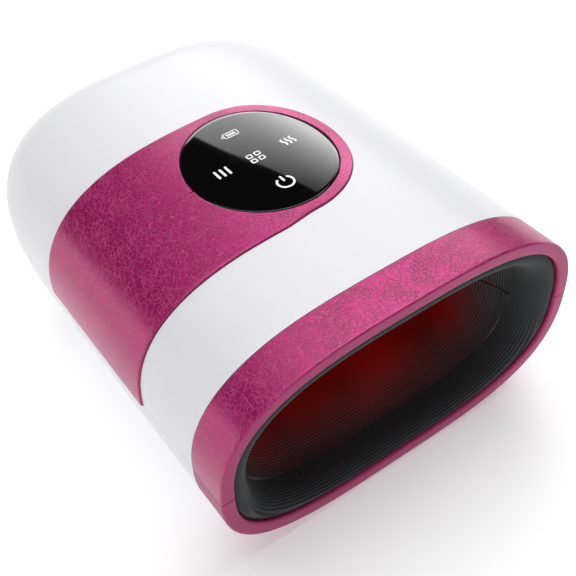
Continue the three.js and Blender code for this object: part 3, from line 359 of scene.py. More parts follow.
def magenta(name, deep, pale, painted_ridge_highlight=None, **values):
    """Satin metallic magenta paint over a smooth mould, or with a crackle whose raised lines get a paler painted
    highlight.
    """
    material, tree, shader, where = finish(name, **values)
    height = add(tree, "TexNoise", {"Vector": where, "Scale": per(0.8), "Detail": 2})
    cloud = add(tree, "TexNoise", {"Vector": where, "Scale": per(1.0), "Detail": 3})
    tone = add(tree, "ValToRGB", {"Fac": cloud})
    for stop, position, shade in zip(tone.color_ramp.elements, (0.35, 0.65), (deep, pale)):
        stop.position, stop.color = position, linear(shade)
    colour, strength, depth = tone.outputs[0], 0.35, 0.0001
    if painted_ridge_highlight:
        lines = crackle(tree, where)
        height = add(tree, "Math", {0: lines, 1: 1.1, 2: height}, operation="MULTIPLY_ADD")
        # Painted highlight: the ridges' colour is drawn toward a paler pink that stands in for the light on their tops.
        painted_highlight_share = add(tree, "Math", {0: lines, 1: 0.14}, operation="MULTIPLY")
        colour = add(tree, "Mix", {0: painted_highlight_share, 6: colour, 7: linear(painted_ridge_highlight)}, **COLOURS).outputs[2]
        strength, depth = 1.0, 0.00012
    bump = add(tree, "Bump", {"Height": height, "Strength": strength, "Distance": depth})
    feed(shader, {"Base Color": colour, "Normal": bump})
    return material


# The third colour is the paler pink of the painted highlight on the crackle's ridges.
pink_trim = magenta(
    "magenta_satin_crackle", "#A81C64", "#B4266E", "#E79CC2",
    Metallic=0.5, Roughness=0.31, Specular_Tint=linear("#D050A0"), Coat_Weight=0.6, Coat_Roughness=0.28,
)
pink_smooth = magenta("magenta_satin_smooth", "#9E2660", "#A62C68", Metallic=0.4, Roughness=0.42)

# Black printed PMMA: a mirror with nearly no colour of its own; wiping leaves a trace of haze.
black_glass = plain("black_panel_glass", "#040405", "#070708", 25, (0.015, 0.04), IOR=1.49)

# White screen print under the panel, a little lit.
lit_white = {"Emission_Color": linear("#FFFFFF"), "Emission_Strength": 0.25}
print_white = plain("white_icon_print", "#D9D9DC", "#EDEDEF", 1.2, Roughness=0.5, **lit_white)

# %% [markdown]
# ## Finishes of the fabric
# The pocket is lined with a dark grey knit whose ribs run round the pocket. They are drawn 1.2 mm apart, as finer ones
# wouldn't show, and along the drawing's y, so that they keep their lines over vault, floor and rolled edge. Deep in the
# pocket a dull red glow of the heating element's light is painted onto the lining: a red emission and a dark red tone.

# %% Knitted lining
RIB_PITCH = 1.2
SMOOTH_FROM, SMOOTH_FULL = 0.022, 0.05  # the scene's z where the rolled edge turns from ribs to a plain knit
GLOW_FRONT, GLOW_FULL, GLOW_SIDE, GLOW_CORE = -0.096, -0.066, 0.078, 0.052  # where the glow starts and is full: y, x


def knit(name, dark, light, smooth=None, painted_glow=None):
    """Ribbed knit; smooth is the paler tone of a plain knit at the mouth's top, the last one the dark red of a painted
    glow.
    """
    cloth = {"Roughness": 0.9, "Specular_IOR_Level": 0.25, "Sheen_Weight": 0.12, "Sheen_Roughness": 0.4}
    material, tree, shader, where = finish(name, **cloth)
    x, y, z = add(tree, "SeparateXYZ", {0: where}).outputs
    scale = math.pi / 10 * per(RIB_PITCH)
    height = add(tree, "TexWave", {"Vector": where, "Scale": scale}, bands_direction="Y").outputs[1]
    loops = add(tree, "TexNoise", {"Vector": where, "Scale": per(0.7), "Detail": 1})
    colour = add(tree, "Mix", {0: height, 6: linear(dark), 7: linear(light)}, **COLOURS).outputs[2]
    if smooth:
        above = add(tree, "MapRange", {"Value": z, "From Min": SMOOTH_FROM, "From Max": SMOOTH_FULL}, **EASED)
        colour = add(tree, "Mix", {0: above, 6: colour, 7: linear(smooth)}, **COLOURS).outputs[2]
        ribbed = add(tree, "Math", {0: 1.0, 1: above}, operation="SUBTRACT")
        height = add(tree, "Math", {0: height, 1: ribbed}, operation="MULTIPLY")
    mix = add(tree, "Math", {0: loops, 1: 0.4, 2: height}, operation="MULTIPLY_ADD")
    feed(shader, {"Normal": add(tree, "Bump", {"Height": mix, "Strength": 0.8, "Distance": 0.0002})})
    # Painted glow: a red emission and a dark red base colour deep in the pocket stand in for the heating element's
    # light.
    if painted_glow:
        depth = add(tree, "MapRange", {"Value": y, "From Min": GLOW_FRONT, "From Max": GLOW_FULL}, **EASED)
        aside = add(tree, "Math", {0: x}, operation="ABSOLUTE")
        inner = add(tree, "MapRange", {"Value": aside, "From Min": GLOW_SIDE, "From Max": GLOW_CORE}, **EASED)
        painted_glow_mask = add(tree, "Math", {0: depth, 1: inner}, operation="MULTIPLY")
        patch = add(tree, "TexNoise", {"Vector": where, "Scale": per(26), "Detail": 1})
        power = add(tree, "Math", {0: painted_glow_mask, 1: patch}, operation="MULTIPLY")
        power = add(tree, "Math", {0: power, 1: 0.11}, operation="MULTIPLY")
        colour = add(tree, "Mix", {0: painted_glow_mask, 6: colour, 7: linear(painted_glow)}, **COLOURS).outputs[2]
        feed(shader, {"Emission Color": linear("#FF0A00"), "Emission Strength": power})
    feed(shader, {"Base Color": colour})
    return material


roll_fabric = knit("grey_knit_of_the_rolled_edge", "#222426", "#4C4E50", smooth="#3A3D3E")
painted_glow_knit = knit("grey_rib_knit_painted_red_glow", "#242628", "#565859", painted_glow="#2C0202")

# %% [markdown]
# ## The upper shell
# On the real product this is one glossy moulding with a shallow recess for the magenta band. The recess could be cut by
# a boolean, but its thin new faces would show as dents in the gloss. Here the grid's rows are led along the recess's
# two edges instead: they part at the band's right tip, drop into the recess, and meet again at its far side.

# %% The band's outline
BEND_END = -13.23  # the x where the outline has turned from the ring to the band's straight front


def band_edges(x, gap=0.0):
    """Where the band's outline crosses a line of constant x: its front and its back."""
    long, half = PANEL_LONG + BAND_RING + gap, PANEL_HALF + BAND_RING + gap
    if x >= PANEL_X:
        reach = long * math.sqrt(max(0.0, 1 - ((x - PANEL_X) / half) ** 2))
        return PANEL_Y - reach, PANEL_Y + reach
    bend = clamp((PANEL_X - x) / (PANEL_X - BEND_END))
    front = PANEL_Y - long + (BAND_FRONT - gap - PANEL_Y + long) * gentle(bend)
    # The back edge is a parabola from over the panel's middle to the parting line; t is where it has this x.
    a, b, c = PANEL_X + 2 * PANEL_HALF - CASING_HALF, -2 * (PANEL_HALF + PANEL_X), PANEL_X - max(x, -CASING_HALF)
    t = (-b - math.sqrt(b * b - 4 * a * c)) / (2 * a)
    back = (1 - t * t) * (PANEL_Y + long) + t * t * (BAND_BACK + gap)
    return front, back


def station_where(angle, grow, target):
    """The station at which a line of constant angle reaches the y that target asks for at its x."""
    station = PANEL_Y
    for _ in range(20):
        point = casing(angle, station, grow)
        station += target(point.x) - point.y
    return station


def edge_station(angle, which, grow, gap):
    """The station at which a line of constant angle meets the band's front (0) or back (1) edge."""
    return station_where(angle, grow, lambda x: band_edges(x, gap)[which])


def angle_at(x, grow=0.0):
    """The arch angle of a line that passes a given x beside the panel's middle."""
    half = (CASING_HALF + grow) * (1 - PLAN_TAPER * PANEL_Y / CASING_LENGTH)
    return math.acos(math.copysign((abs(x) / half) ** (CASING_POWERS[1][0] / 2), x))


print("band edges at x 0:", [round(v, 2) for v in band_edges(0)])

# %% The upper shell
TIP = PANEL_X + PANEL_HALF + BAND_RING + FIT_GAP
RIGHT_LINES, TIP_LINES, LEFT_LINES = 34, 26, 72
FRONT_ROWS, BACK_ROWS, INNER_ROWS = 26, 60, 40
tip_angle = angle_at(TIP)
right = casing_angles(RIGHT_LINES, 0, tip_angle)
round_tip = [angle_at(PANEL_X + (TIP - PANEL_X) * math.cos(turn)) for turn in spread(0, QUARTER, TIP_LINES)]
left = casing_angles(LEFT_LINES, angle_at(PANEL_X))


def shell_rows(side, angle, cut):
    """Stations and depths along one line of a half shell: out over the outside, back along the inside."""
    if side < 0:
        front = back = PANEL_Y
    elif angle <= tip_angle + 1e-6:
        front = back = edge_station(tip_angle, 0, 0, FIT_GAP)
    else:
        front, back = (edge_station(angle, which, 0, FIT_GAP) for which in (0, 1))
    rows = [(y, 0.0) for y in spread(SHELL_FRONT, front, FRONT_ROWS)]
    seat = -BAND_SEAT if cut else 0.0
    rows += [(front, seat), (back, seat)] if side > 0 else []
    rows += [(back + (CASING_LENGTH - back) * math.sin(QUARTER * k / BACK_ROWS), 0.0) for k in range(BACK_ROWS + 1)]
    for k in range(INNER_ROWS + 1):
        share = math.sin(QUARTER * (1 - k / INNER_ROWS))
        rows.append(((CASING_LENGTH - SHELL_WALL) * share + SHELL_FRONT * (1 - share), -SHELL_WALL))
    return rows + rows[:1]


def parted(point, side=1):
    """Keeps a point of a half shell back from the parting line."""
    point.z = side * max(side * point.z, PARTING)
    return point


def half_shell(side, lines, cut_from):
    """One half of the housing, closed all round its wall; the recess starts at line cut_from."""
    table = [shell_rows(side, angle, i >= cut_from) for i, angle in enumerate(lines)]
    return wrapped(len(lines) - 1, len(table[0]) - 1, lambda i, j: parted(casing(lines[i], *table[i][j], side), side))


upper_body = half_shell(1, right + round_tip + left[1:], len(right))
piece("upper_shell_moulding", upper_body, "housing", "white_shell", ["upper_shell"], [white_shell])

# %% [markdown]
# ## The lower shell
# The lower half has no recess, so its rows run straight from the mouth to the back. Its underside has four shallow cups
# for the feet and four holes for the screws, and its back an oval slot for the charging inlet. These are holes in a
# moulding, so they are cut with a boolean: the wall there is broad and even, and a cut leaves it so. The posts round
# the screws are turned bodies of their own, whose ends follow the middle of each shell's wall: in the lower half a
# well with a seat for the screw's head, in the upper half the post that the thread bites into.

# %% The lower shell with its holes, cups and inlet
FEET = [(x, y) for y in (40, 184) for x in (-40, 40)]
SCREWS = [(x, y) for x in (-71, 71) for y in (50, 160)]
CUP_RADIUS, CUP_DEPTH, WELL_RADIUS, SCREW_SEAT = 6.8, 1.9, 3.3, -8
PORT_Z, CLEAR = -14, 4  # the inlet's height, and how far a cutter reaches past the housing
PORT_RECESS, PORT_OPENING = (7.9, 8.3, 1.1), (5.6, 4.8, 8)  # half width, height and depth
BELOW, POST_SIDES, WELL_SIDES, LOWER_LINES = -BELLY - CLEAR, 48, 32, 110


def post(radius, low, high, x, y, sides=POST_SIDES):
    """An upright round bar between two heights."""
    bm = bmesh.new()
    turn = Matrix.Translation(place(x, y, (low + high) / 2))
    size = {"radius1": radius / 1000, "radius2": radius / 1000, "depth": (high - low) / 1000}
    bmesh.ops.create_cone(bm, cap_ends=True, segments=sides, matrix=turn, **size)
    return bm


def slot_bar(half, tall, depth):
    """A bar of stadium section that runs in y from some depth out through the back of the casing."""
    def corner(i, j):
        turn = QUARTER - 2 * math.pi * i / POST_SIDES
        side = 1 if (i % POST_SIDES) < POST_SIDES // 2 else -1
        x = side * (half - tall / 2) + tall / 2 * math.cos(turn)
        return x, CASING_LENGTH - depth if j else CASING_LENGTH + CLEAR, PORT_Z + tall / 2 * math.sin(turn)

    return wrapped(POST_SIDES, 1, corner)


def cut_by(made, cutters):
    """Cuts closed bodies out of a piece and keeps the result as its mesh."""
    for bm in cutters:
        mesh = meshed(bm, "cutter")
        tool = shown("cutter", mesh)
        cut = made.modifiers.new("cut", "BOOLEAN")
        cut.object, cut.operation, cut.solver = tool, "DIFFERENCE", "EXACT"
        shaped = bpy.data.meshes.new_from_object(made.evaluated_get(bpy.context.evaluated_depsgraph_get()))
        made.modifiers.clear()
        old, made.data = made.data, shaped
        bpy.data.meshes.remove(old)
        bpy.data.objects.remove(tool)
        bpy.data.meshes.remove(mesh)
    made.data.set_sharp_from_angle(angle=math.radians(SHARP))
    print(f"{made.name}: {len(made.data.polygons)} faces after its cuts")


lower_body = half_shell(-1, casing_angles(LOWER_LINES, side=-1), 0)
lower_shell = piece("lower_shell_moulding", lower_body, "housing", "white_shell", ["lower_shell"], [white_shell])
cut_by(lower_shell, [post(CUP_RADIUS, BELOW, -BELLY + CUP_DEPTH, x, y) for x, y in FEET])
cut_by(lower_shell, [post(WELL_RADIUS, BELOW, SCREW_SEAT, x, y, WELL_SIDES) for x, y in SCREWS])
cut_by(lower_shell, [slot_bar(*PORT_RECESS), slot_bar(*PORT_OPENING)])

# %% Screw posts of both shells
lower_post = [(4.5, None), (4.5, -0.2), (1.55, -0.2), (1.55, -8.0), (3.25, -8.0), (3.25, None), (4.5, None)]
upper_post = [(0, 10.2), (1.25, 10.0), (1.25, 0.2), (4.5, 0.2), (4.5, None), (0, None)]


def screw_post(profile, x, y, side):
    """A turned post; where its profile gives no height it ends in the middle of the shell's wall."""
    def corner(i, j):
        radius, z = profile[j]
        turn = 2 * math.pi * i / POST_SIDES
        spot = Vector((x + radius * math.cos(turn), y + radius * math.sin(turn), z or 0))
        return over(spot.x, spot.y, -SHELL_WALL / 2, side) if z is None else spot

    return wrapped(POST_SIDES, len(profile) - 1, corner)


for name, side, profile in (("upper_shell_posts", 1, upper_post), ("lower_shell_posts", -1, lower_post)):
    posts = joined([screw_post(profile, x, y, side) for x, y in SCREWS])
    piece(name, posts, "housing", "white_shell", finishes=[white_shell])

# %% [markdown]
# ## The magenta band
# A separate moulding snaps into the recess: it rises from the parting line on the left, crosses the shoulder and ends
# in a ring round the panel. It stands 0.9 mm proud with softly rounded edges, whose side wall shows as a dark line.
# One grid runs along its outline and back, with rows from the outline in to the panel's hole.

# %% The accent band
HOLE_HALF, HOLE_LONG = PANEL_HALF + FIT_GAP, PANEL_LONG + FIT_GAP
STRIP, SHOULDER, ROUND = 56, 34, 40
BAND_LINES = 2 * (STRIP + SHOULDER) + ROUND
BAND_EDGE, FACE_ROWS = 0.45, 22
strip_angles = casing_angles(STRIP, angle_at(PANEL_X - HOLE_HALF, BAND_PROUD))[::-1]
shoulder_angles = [angle_at(PANEL_X - HOLE_HALF * math.cos(turn), BAND_PROUD) for turn in spread(0, QUARTER, SHOULDER)]
front_angles = strip_angles + shoulder_angles[1:]


def rounded_edge(radius, top):
    """A quarter round, as pairs of a shift in from the edge and a height, from its foot to its top."""
    return [(radius * (1 - math.cos(a)), top - radius * (1 - math.sin(a))) for a in spread(0, QUARTER, 4)]


# A row of the grid is a share of the way from the outline to the hole, a shift in millimetres and a height.
outer_edge = rounded_edge(BAND_EDGE, BAND_PROUD)
band_rows = [(0.0, 0.0, -BAND_DEPTH)] + [(0.0, d, g) for d, g in outer_edge]
band_rows += [(k / FACE_ROWS, 0.0, BAND_PROUD) for k in range(1, FACE_ROWS)]
band_rows += [(1.0, -d, g) for d, g in outer_edge[::-1]]
hole_wall_row = len(band_rows) - 1
band_rows += [(k / 4, 0.0, -BAND_DEPTH) for k in (4, 3, 2, 1, 0)]


def hole_edge(x):
    """Half the length of the panel's hole at a given x, or 0 where the hole hasn't begun."""
    return HOLE_LONG * math.sqrt(max(0.0, 1 - ((x - PANEL_X) / HOLE_HALF) ** 2))


def band_corner(i, j):
    """A point of the band: along its front edge, round the ring's right half, and back along its rear edge."""
    share, shift, grow = band_rows[j]
    back = i >= BAND_LINES - STRIP - SHOULDER
    k = BAND_LINES - i if back else i
    if k <= STRIP + SHOULDER:
        angle = front_angles[k]
        if k <= STRIP and share == 1.0 and shift:
            grow = BAND_PROUD
        low = edge_station(angle, int(back), BAND_PROUD, 0)
        high = station_where(angle, BAND_PROUD, lambda x: PANEL_Y + (1 if back else -1) * hole_edge(x))
        share = clamp(share + shift / abs(high - low))
        return parted(casing(angle, low + (high - low) * share, grow))
    turn = math.pi * (i - STRIP - SHOULDER) / ROUND - QUARTER
    share += shift / (BAND_RING - FIT_GAP)
    half = PANEL_HALF + BAND_RING + (HOLE_HALF - PANEL_HALF - BAND_RING) * share
    long = PANEL_LONG + BAND_RING + (HOLE_LONG - PANEL_LONG - BAND_RING) * share
    return over(PANEL_X + half * math.cos(turn), PANEL_Y + long * math.sin(turn), grow)


def no_wall_on_the_middle_line(i, j):
    """Left of the hole the two halves of the band meet, so there is no wall between them."""
    return j == hole_wall_row and (i < STRIP or i >= BAND_LINES - STRIP)


band_body = wrapped(BAND_LINES, len(band_rows) - 1, band_corner, no_wall_on_the_middle_line)
piece("accent_band_moulding", band_body, "housing", "pink_trim", ["accent_band"], [pink_trim])

# %% [markdown]
# ## The touch panel
# An oval of black PMMA with polished edges, printed from behind, a hair prouder than the ring round it. Rings of a grid
# run from its middle to its edge and back underneath.

# %% The panel
PANEL_SIDES, PANEL_RINGS, PANEL_EDGE = 144, 20, 0.4
panel_rows = [(k / PANEL_RINGS, 0.0, GLASS_PROUD) for k in range(PANEL_RINGS)]
panel_rows += [(1.0, -d, g) for d, g in rounded_edge(PANEL_EDGE, GLASS_PROUD)[::-1]]
panel_rows += [(share, 0.0, -BAND_DEPTH) for share in (1.0, 0.5, 0.0)]


def panel_corner(i, j):
    share, shift, grow = panel_rows[j]
    turn, share = 2 * math.pi * i / PANEL_SIDES, share + shift / PANEL_HALF
    across, along = PANEL_HALF * share * math.cos(turn), PANEL_LONG * share * math.sin(turn)
    return over(PANEL_X + across, PANEL_Y + along, grow)


panel_body = wrapped(PANEL_SIDES, len(panel_rows) - 1, panel_corner)
piece("touch_panel_lens", panel_body, "housing", "black_glass", ["touch_panel_glass"], [black_glass])

# %% [markdown]
# ## Pictograms
# The panel's marks are a battery gauge, heat waves, a menu of four squares, three strength bars and a power ring. The
# real ones are printed under the glass. Here each is a thin raised ribbon that follows the dome, wide enough to read.

# %% Printed pictograms
MARK_TOP, MARK_FOOT = 0.03, -0.05  # a mark's upper and lower face, from the glass
cap_shares = [0.02] + [math.cos(QUARTER * k / 5) for k in (4, 3, 2, 1, 0)]  # a round end's widths, from its tip


def ribbon(points, width, rounded=True):
    """A flat stroke on the panel along some points of its plan, with round ends or square ones, or closed."""
    closed = (Vector(points[0]) - Vector(points[-1])).length < 1e-6
    path = [Vector(p) for p in points]
    shares = [1.0] * len(path)
    if rounded and not closed:
        caps = []
        for end, inward in ((path[0], path[1]), (path[-1], path[-2])):
            way = (inward - end).normalized() * width / 2
            caps.append([end + way * (1 - math.sqrt(1 - share * share)) for share in cap_shares])
        path = caps[0] + path[1:-1] + caps[1][::-1]
        shares = cap_shares + shares[2:] + cap_shares[::-1]
    count = len(path) - 1

    def corner(i, j):
        before = path[i - 1] if i else (path[-2] if closed else path[0])
        after = path[i + 1] if i < count else (path[1] if closed else path[-1])
        way = (after - before).normalized()
        side = 1 if j % 4 in (1, 2) else -1
        p = path[i] + Vector((-way.y, way.x)) * side * width / 2 * shares[i]
        return over(p.x, p.y, GLASS_PROUD + (MARK_TOP if j % 4 in (2, 3) else MARK_FOOT))

    return wrapped(count, 4, corner)


def arc(x, y, radius, start, stop, steps):
    """Points of a circle between two angles in degrees."""
    turns = [math.radians(a) for a in spread(start, stop, steps)]
    return [(x + radius * math.cos(turn), y + radius * math.sin(turn)) for turn in turns]


def boxed(x, y, half, tall, corner):
    """The closed outline of a box with round corners."""
    path = []
    for sx, sy, start in ((1, 1, 0), (-1, 1, 90), (-1, -1, 180), (1, -1, 270)):
        path += arc(x + sx * (half - corner), y + sy * (tall - corner), corner, start, start + 90, 5)
    return path + path[:1]


def wave(x, y):
    """A wavy line that rises from one end to the other."""
    return [(x + 0.55 * math.sin(2 * math.pi * t), y + 5.2 * (t - 0.5)) for t in spread(0, 1, 18)]


BATTERY_X, MENU_X, POWER_Y = 4.6, 3.7, 80.6
marks = [ribbon(boxed(BATTERY_X, 123, 3.4, 1.75, 0.7), 0.45)]
marks += [ribbon([(BATTERY_X - 4.3, 123.8), (BATTERY_X - 4.3, 122.2)], 0.5, False)]
for x in (BATTERY_X + 1.15 * k for k in (-1.5, -0.5, 0.5, 1.5)):
    marks += [ribbon([(x - 0.35, 123.95), (x + 0.35, 122.05)], 0.7, False)]
marks += [ribbon(wave(20.5 + 2.1 * k, 103), 0.85) for k in (-1, 0, 1)]
marks += [ribbon(boxed(MENU_X + 1.9 * a, 102.3 + 1.9 * b, 1.1, 1.1, 0.4), 0.6) for a in (-1, 1) for b in (-1, 1)]
marks += [ribbon([(x, 99.6), (x, 105.4)], 1.05) for x in (-15.0, -12.4, -9.8)]
marks += [ribbon(arc(MENU_X, POWER_Y, 3.5, 125, 415, 36), 0.95)]
marks += [ribbon([(MENU_X, POWER_Y + 0.6), (MENU_X, POWER_Y + 4.6)], 0.95)]
piece("panel_pictograms", joined(marks), "housing", "black_glass", finishes=[print_white])

# %% [markdown]
# ## The rim round the mouth
# Two trim mouldings meet at the parting line. The upper one has the crackle on its outside and a crisp crease to a
# smooth front lip; the lower one is smooth all over. Each is a closed profile, drawn round its half of the mouth.

# %% The two bezels
RIM_LINES = 110
LIP = CASING_HALF - MOUTH_HALF
nose = [(14.0, 0), (8.0, 0), (4.0, 0), (2.0, 0), (1.25, 0), (0.9, 0.01), (0.6, 0.07), (0.36, 0.2), (0.18, 0.4)]
nose += [(0.06, 0.68), (0.01, 1.0), (0, 1.6), (0, 3.0), (0, 4.3), (0.03, 5.0), (0.14, 5.45), (0.32, 5.8), (0.6, 6.03)]
nose += [(0.95, 6.17), (1.5, 6.25), (3.5, 6.25), (7, 6.25), (11, 6.25), (11, 4.65), (7, 4.65), (3.2, 4.65)]
nose += [(3.2, 2.8), (8, 2.8), (14.3, 2.8)]
tongue = [(15.5, -4.3), (20, -4.3), (25.9, -4.3), (25.9, -3.1), (19.9, -3.1)]
bezel_rows = [("lip", 19.9, 0)] + [("lip", *row) for row in nose]
bezel_rows += [("shell", *row) for row in tongue] + bezel_rows[:1]
OUTSIDE_REACH, LIP_END = 0.985, 0.15  # a share of the casing's reach, and a station: past both lies its outside


def mouth(angle, y, side, side_inset=0.0, end_inset=0.0):
    """The mouth's form, drawn in by one inset at its sides and another at its top or floor."""
    fall = 1 - (CROWN_FALL if side > 0 else 0) * y / CASING_LENGTH
    x, z = arch(MOUTH_HALF - side_inset, (MOUTH_HEIGHT[side] - end_inset) * fall, MOUTH_POWERS[side], angle)
    return leaned(x, y, side * z)


def on_the_outside(point, side):
    """Whether a point of the drawing lies on the casing's outside, behind the lip."""
    station = point.y + LEAN * point.z
    height = CROWN * (1 - CROWN_FALL * station / CASING_LENGTH) if side > 0 else BELLY
    powers = CASING_POWERS[side]
    reach = (abs(point.x) / CASING_HALF) ** powers[0] + (abs(point.z) / height) ** powers[1]
    return reach > OUTSIDE_REACH and station > LIP_END


def bezel_half(name, side, slot, finishes):
    """Half of the rim; its outside takes the first finish and its lip and inside the last."""
    outer = casing_angles(RIM_LINES, side=side)
    inner = even_angles(MOUTH_HALF, MOUTH_HEIGHT[side], MOUTH_POWERS[side], RIM_LINES)

    def corner(i, j):
        kind, y, depth = bezel_rows[j]
        if kind == "shell":
            return parted(casing(outer[i], y, depth, side), side)
        return parted(casing(outer[i], y, 0, side).lerp(mouth(inner[i], y, side), depth / LIP), side)

    bm = wrapped(RIM_LINES, len(bezel_rows) - 1, corner)
    for face in bm.faces:
        middle = sum((v.co for v in face.verts), Vector()) / len(face.verts) * 1000 - DRAWING_ORIGIN
        face.material_index = 0 if on_the_outside(middle, side) else len(finishes) - 1
    piece(f"front_bezel_{name}_moulding", bm, "housing", slot, [f"front_bezel_{name}"], finishes, 30)


bezel_half("upper", 1, "pink_trim", [pink_trim, pink_smooth])
bezel_half("lower", -1, "pink_smooth", [pink_smooth])

# %% [markdown]
# ## The pocket's rolled edge
# A roll of padded knit hides the edge of the lining and softens the mouth. Its profile is a fat lip at the front that
# runs into a funnel. It is drawn once round the whole mouth, above and below.

# %% The mouth's roll
CLOTH_SHARP = 60
HALF_LINES = 90
ROLL_FRONT, ROLL_BACK, ROLL_SIDE, ROLL_INSET = 1.2, 16.0, 9.6, {1: 9.6, -1: 4.3}
roll_profile = [(0.1, 0), (0.02, 0.12), (0, 0.28), (0.07, 0.5), (0.25, 0.72), (0.55, 0.9), (1, 1)]
roll_profile += [(1, 0.76), (0.5, 0.55), (0.62, 0)]


def smooth_loop(points, steps):
    """A closed Catmull-Rom curve through some points."""
    path = []
    for k in range(len(points)):
        a, b, c, d = (Vector(points[(k + n) % len(points)]) for n in (-1, 0, 1, 2))
        for t in (n / steps for n in range(steps)):
            bend = (2 * a - 5 * b + 4 * c - d) * t * t + (3 * b - a - 3 * c + d) * t**3
            path.append(0.5 * (2 * b + (c - a) * t + bend))
    return path + path[:1]


roll_rows = smooth_loop(roll_profile, 4)
mouth_angles = {s: even_angles(MOUTH_HALF, MOUTH_HEIGHT[s], MOUTH_POWERS[s], HALF_LINES) for s in (1, -1)}


def roll_corner(i, j):
    depth, inset = (clamp(v) for v in roll_rows[j])
    side = 1 if i <= HALF_LINES else -1
    angle = mouth_angles[side][i if side > 0 else 2 * HALF_LINES - i]
    y = ROLL_FRONT + (ROLL_BACK - ROLL_FRONT) * depth
    return mouth(angle, y, side, FIT_GAP + ROLL_SIDE * inset, FIT_GAP + ROLL_INSET[side] * inset)


roll_body = wrapped(2 * HALF_LINES, len(roll_rows) - 1, roll_corner)
mouth_roll = piece(
    "pocket_rolled_edge", roll_body, "housing", "grey_fabric", ["pocket_mouth_roll"], [roll_fabric], CLOTH_SHARP
)

# %% [markdown]
# ## The pocket's lining
# The lining is knit on a thin foam backing, sewn as a vault over the hand and a floor under it, with the floor's sides
# turned up inside the vault's. The press pads stretch it down or up when the air bags swell; here each sheet keeps one
# fixed shape.

# %% Vault and floor
POCKET_HALF, POCKET_DEEP, POCKET_END = 61.0, 44.0, 160.0
POCKET_HEIGHT, POCKET_POWERS = {1: 25.6, -1: 28.1}, (4, 4)
FABRIC, END_ROUND, VAULT_LEGS, FLOOR_TOP, FLOOR_DRAWN = 1.5, 6.0, 12.0, 4.0, 1.9
THIN_LINES, THINNER = 12, 0.4  # over so many lines the floor's upturned sides get thinner by so much
deep_angles = {s: even_angles(POCKET_HALF, POCKET_HEIGHT[s], POCKET_POWERS, HALF_LINES) for s in (1, -1)}


def lining(side, k, y, grow, drawn):
    """A point of the pocket's form: it changes from the mouth's arch to a flatter one further in."""
    share = gentle(clamp((y - ROLL_BACK) / (POCKET_DEEP - ROLL_BACK)))
    near = mouth(mouth_angles[side][k], y, side, ROLL_SIDE + FIT_GAP + drawn - grow, ROLL_INSET[side] + FIT_GAP - grow)
    x, z = arch(POCKET_HALF + grow - drawn, POCKET_HEIGHT[side] + grow, POCKET_POWERS, deep_angles[side][k])
    return near.lerp(Vector((x, y, side * z)), share)


def lining_rows(grow, drawn):
    """Stations from the mouth to the back wall and in to its middle: (y, inset, share of the back wall)."""
    end = POCKET_END + grow - drawn
    stations = spread(ROLL_BACK - 0.4, POCKET_DEEP, 16) + spread(POCKET_DEEP, end - END_ROUND, 30)[1:]
    rows = [(y, 0.0, 0.0) for y in stations]
    for turn in spread(0, QUARTER, 6)[1:]:
        rows.append((end - END_ROUND * (1 - math.sin(turn)), END_ROUND * (1 - math.cos(turn)), 0.0))
    return rows + [(end, END_ROUND, share) for share in (0.25, 0.5, 0.75, 1.0)]


def lining_sheet(side, legs, drawn):
    """The vault or the floor: out along its inside face and back along its outside."""
    near, far = lining_rows(0.0, drawn), lining_rows(FABRIC, drawn)
    rows = [(r, 0.0) for r in near] + [(r, FABRIC) for r in far[::-1]] + [(near[0], 0.0)]
    extra = 4 if legs else 0

    def corner(i, j):
        (y, inset, share), grow = rows[j]
        k = min(HALF_LINES, max(0, i - extra))
        thin = max(0.0, 1 - min(k, HALF_LINES - k) / THIN_LINES) if side < 0 else 0.0
        thinned = (grow or FABRIC - THINNER) * thin + grow * (1 - thin)
        point = lining(side, k, y, thinned - inset, drawn - 0.3 * thin)
        down = extra - i if i < extra else max(0, i - extra - HALF_LINES)
        if down:
            point.z = -legs * down / extra
        if side < 0:
            point.z = min(point.z, -FLOOR_TOP)
        middle = Vector((0, point.y, -legs if side > 0 else -FLOOR_TOP))
        return point.lerp(middle, share)

    return wrapped(HALF_LINES + 2 * extra, len(rows) - 1, corner)


for name, press, body in (
    ("vault", "upper_press", lining_sheet(1, VAULT_LEGS, 0.0)),
    ("floor", "palm_press", lining_sheet(-1, 0.0, FLOOR_DRAWN)),
):
    solid = [f"pocket_{name}_fabric"]
    cloth = piece(f"pocket_{name}_lining", body, None, "grey_fabric", solid, [painted_glow_knit], CLOTH_SHARP)
    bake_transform(cloth)
    print(cloth.name, "cloth area", round(sum(f.area for f in cloth.data.polygons) / 2, 4), "square metres")

# %% [markdown]
# ## Finishes of the inside
# Behind the lining are ordinary workshop materials: grey nylon frames, milky vinyl bags, black foam, an etched copper
# heating film, green boards, and a small diaphragm pump. Each gets the tone and the grain that it has on a bench.

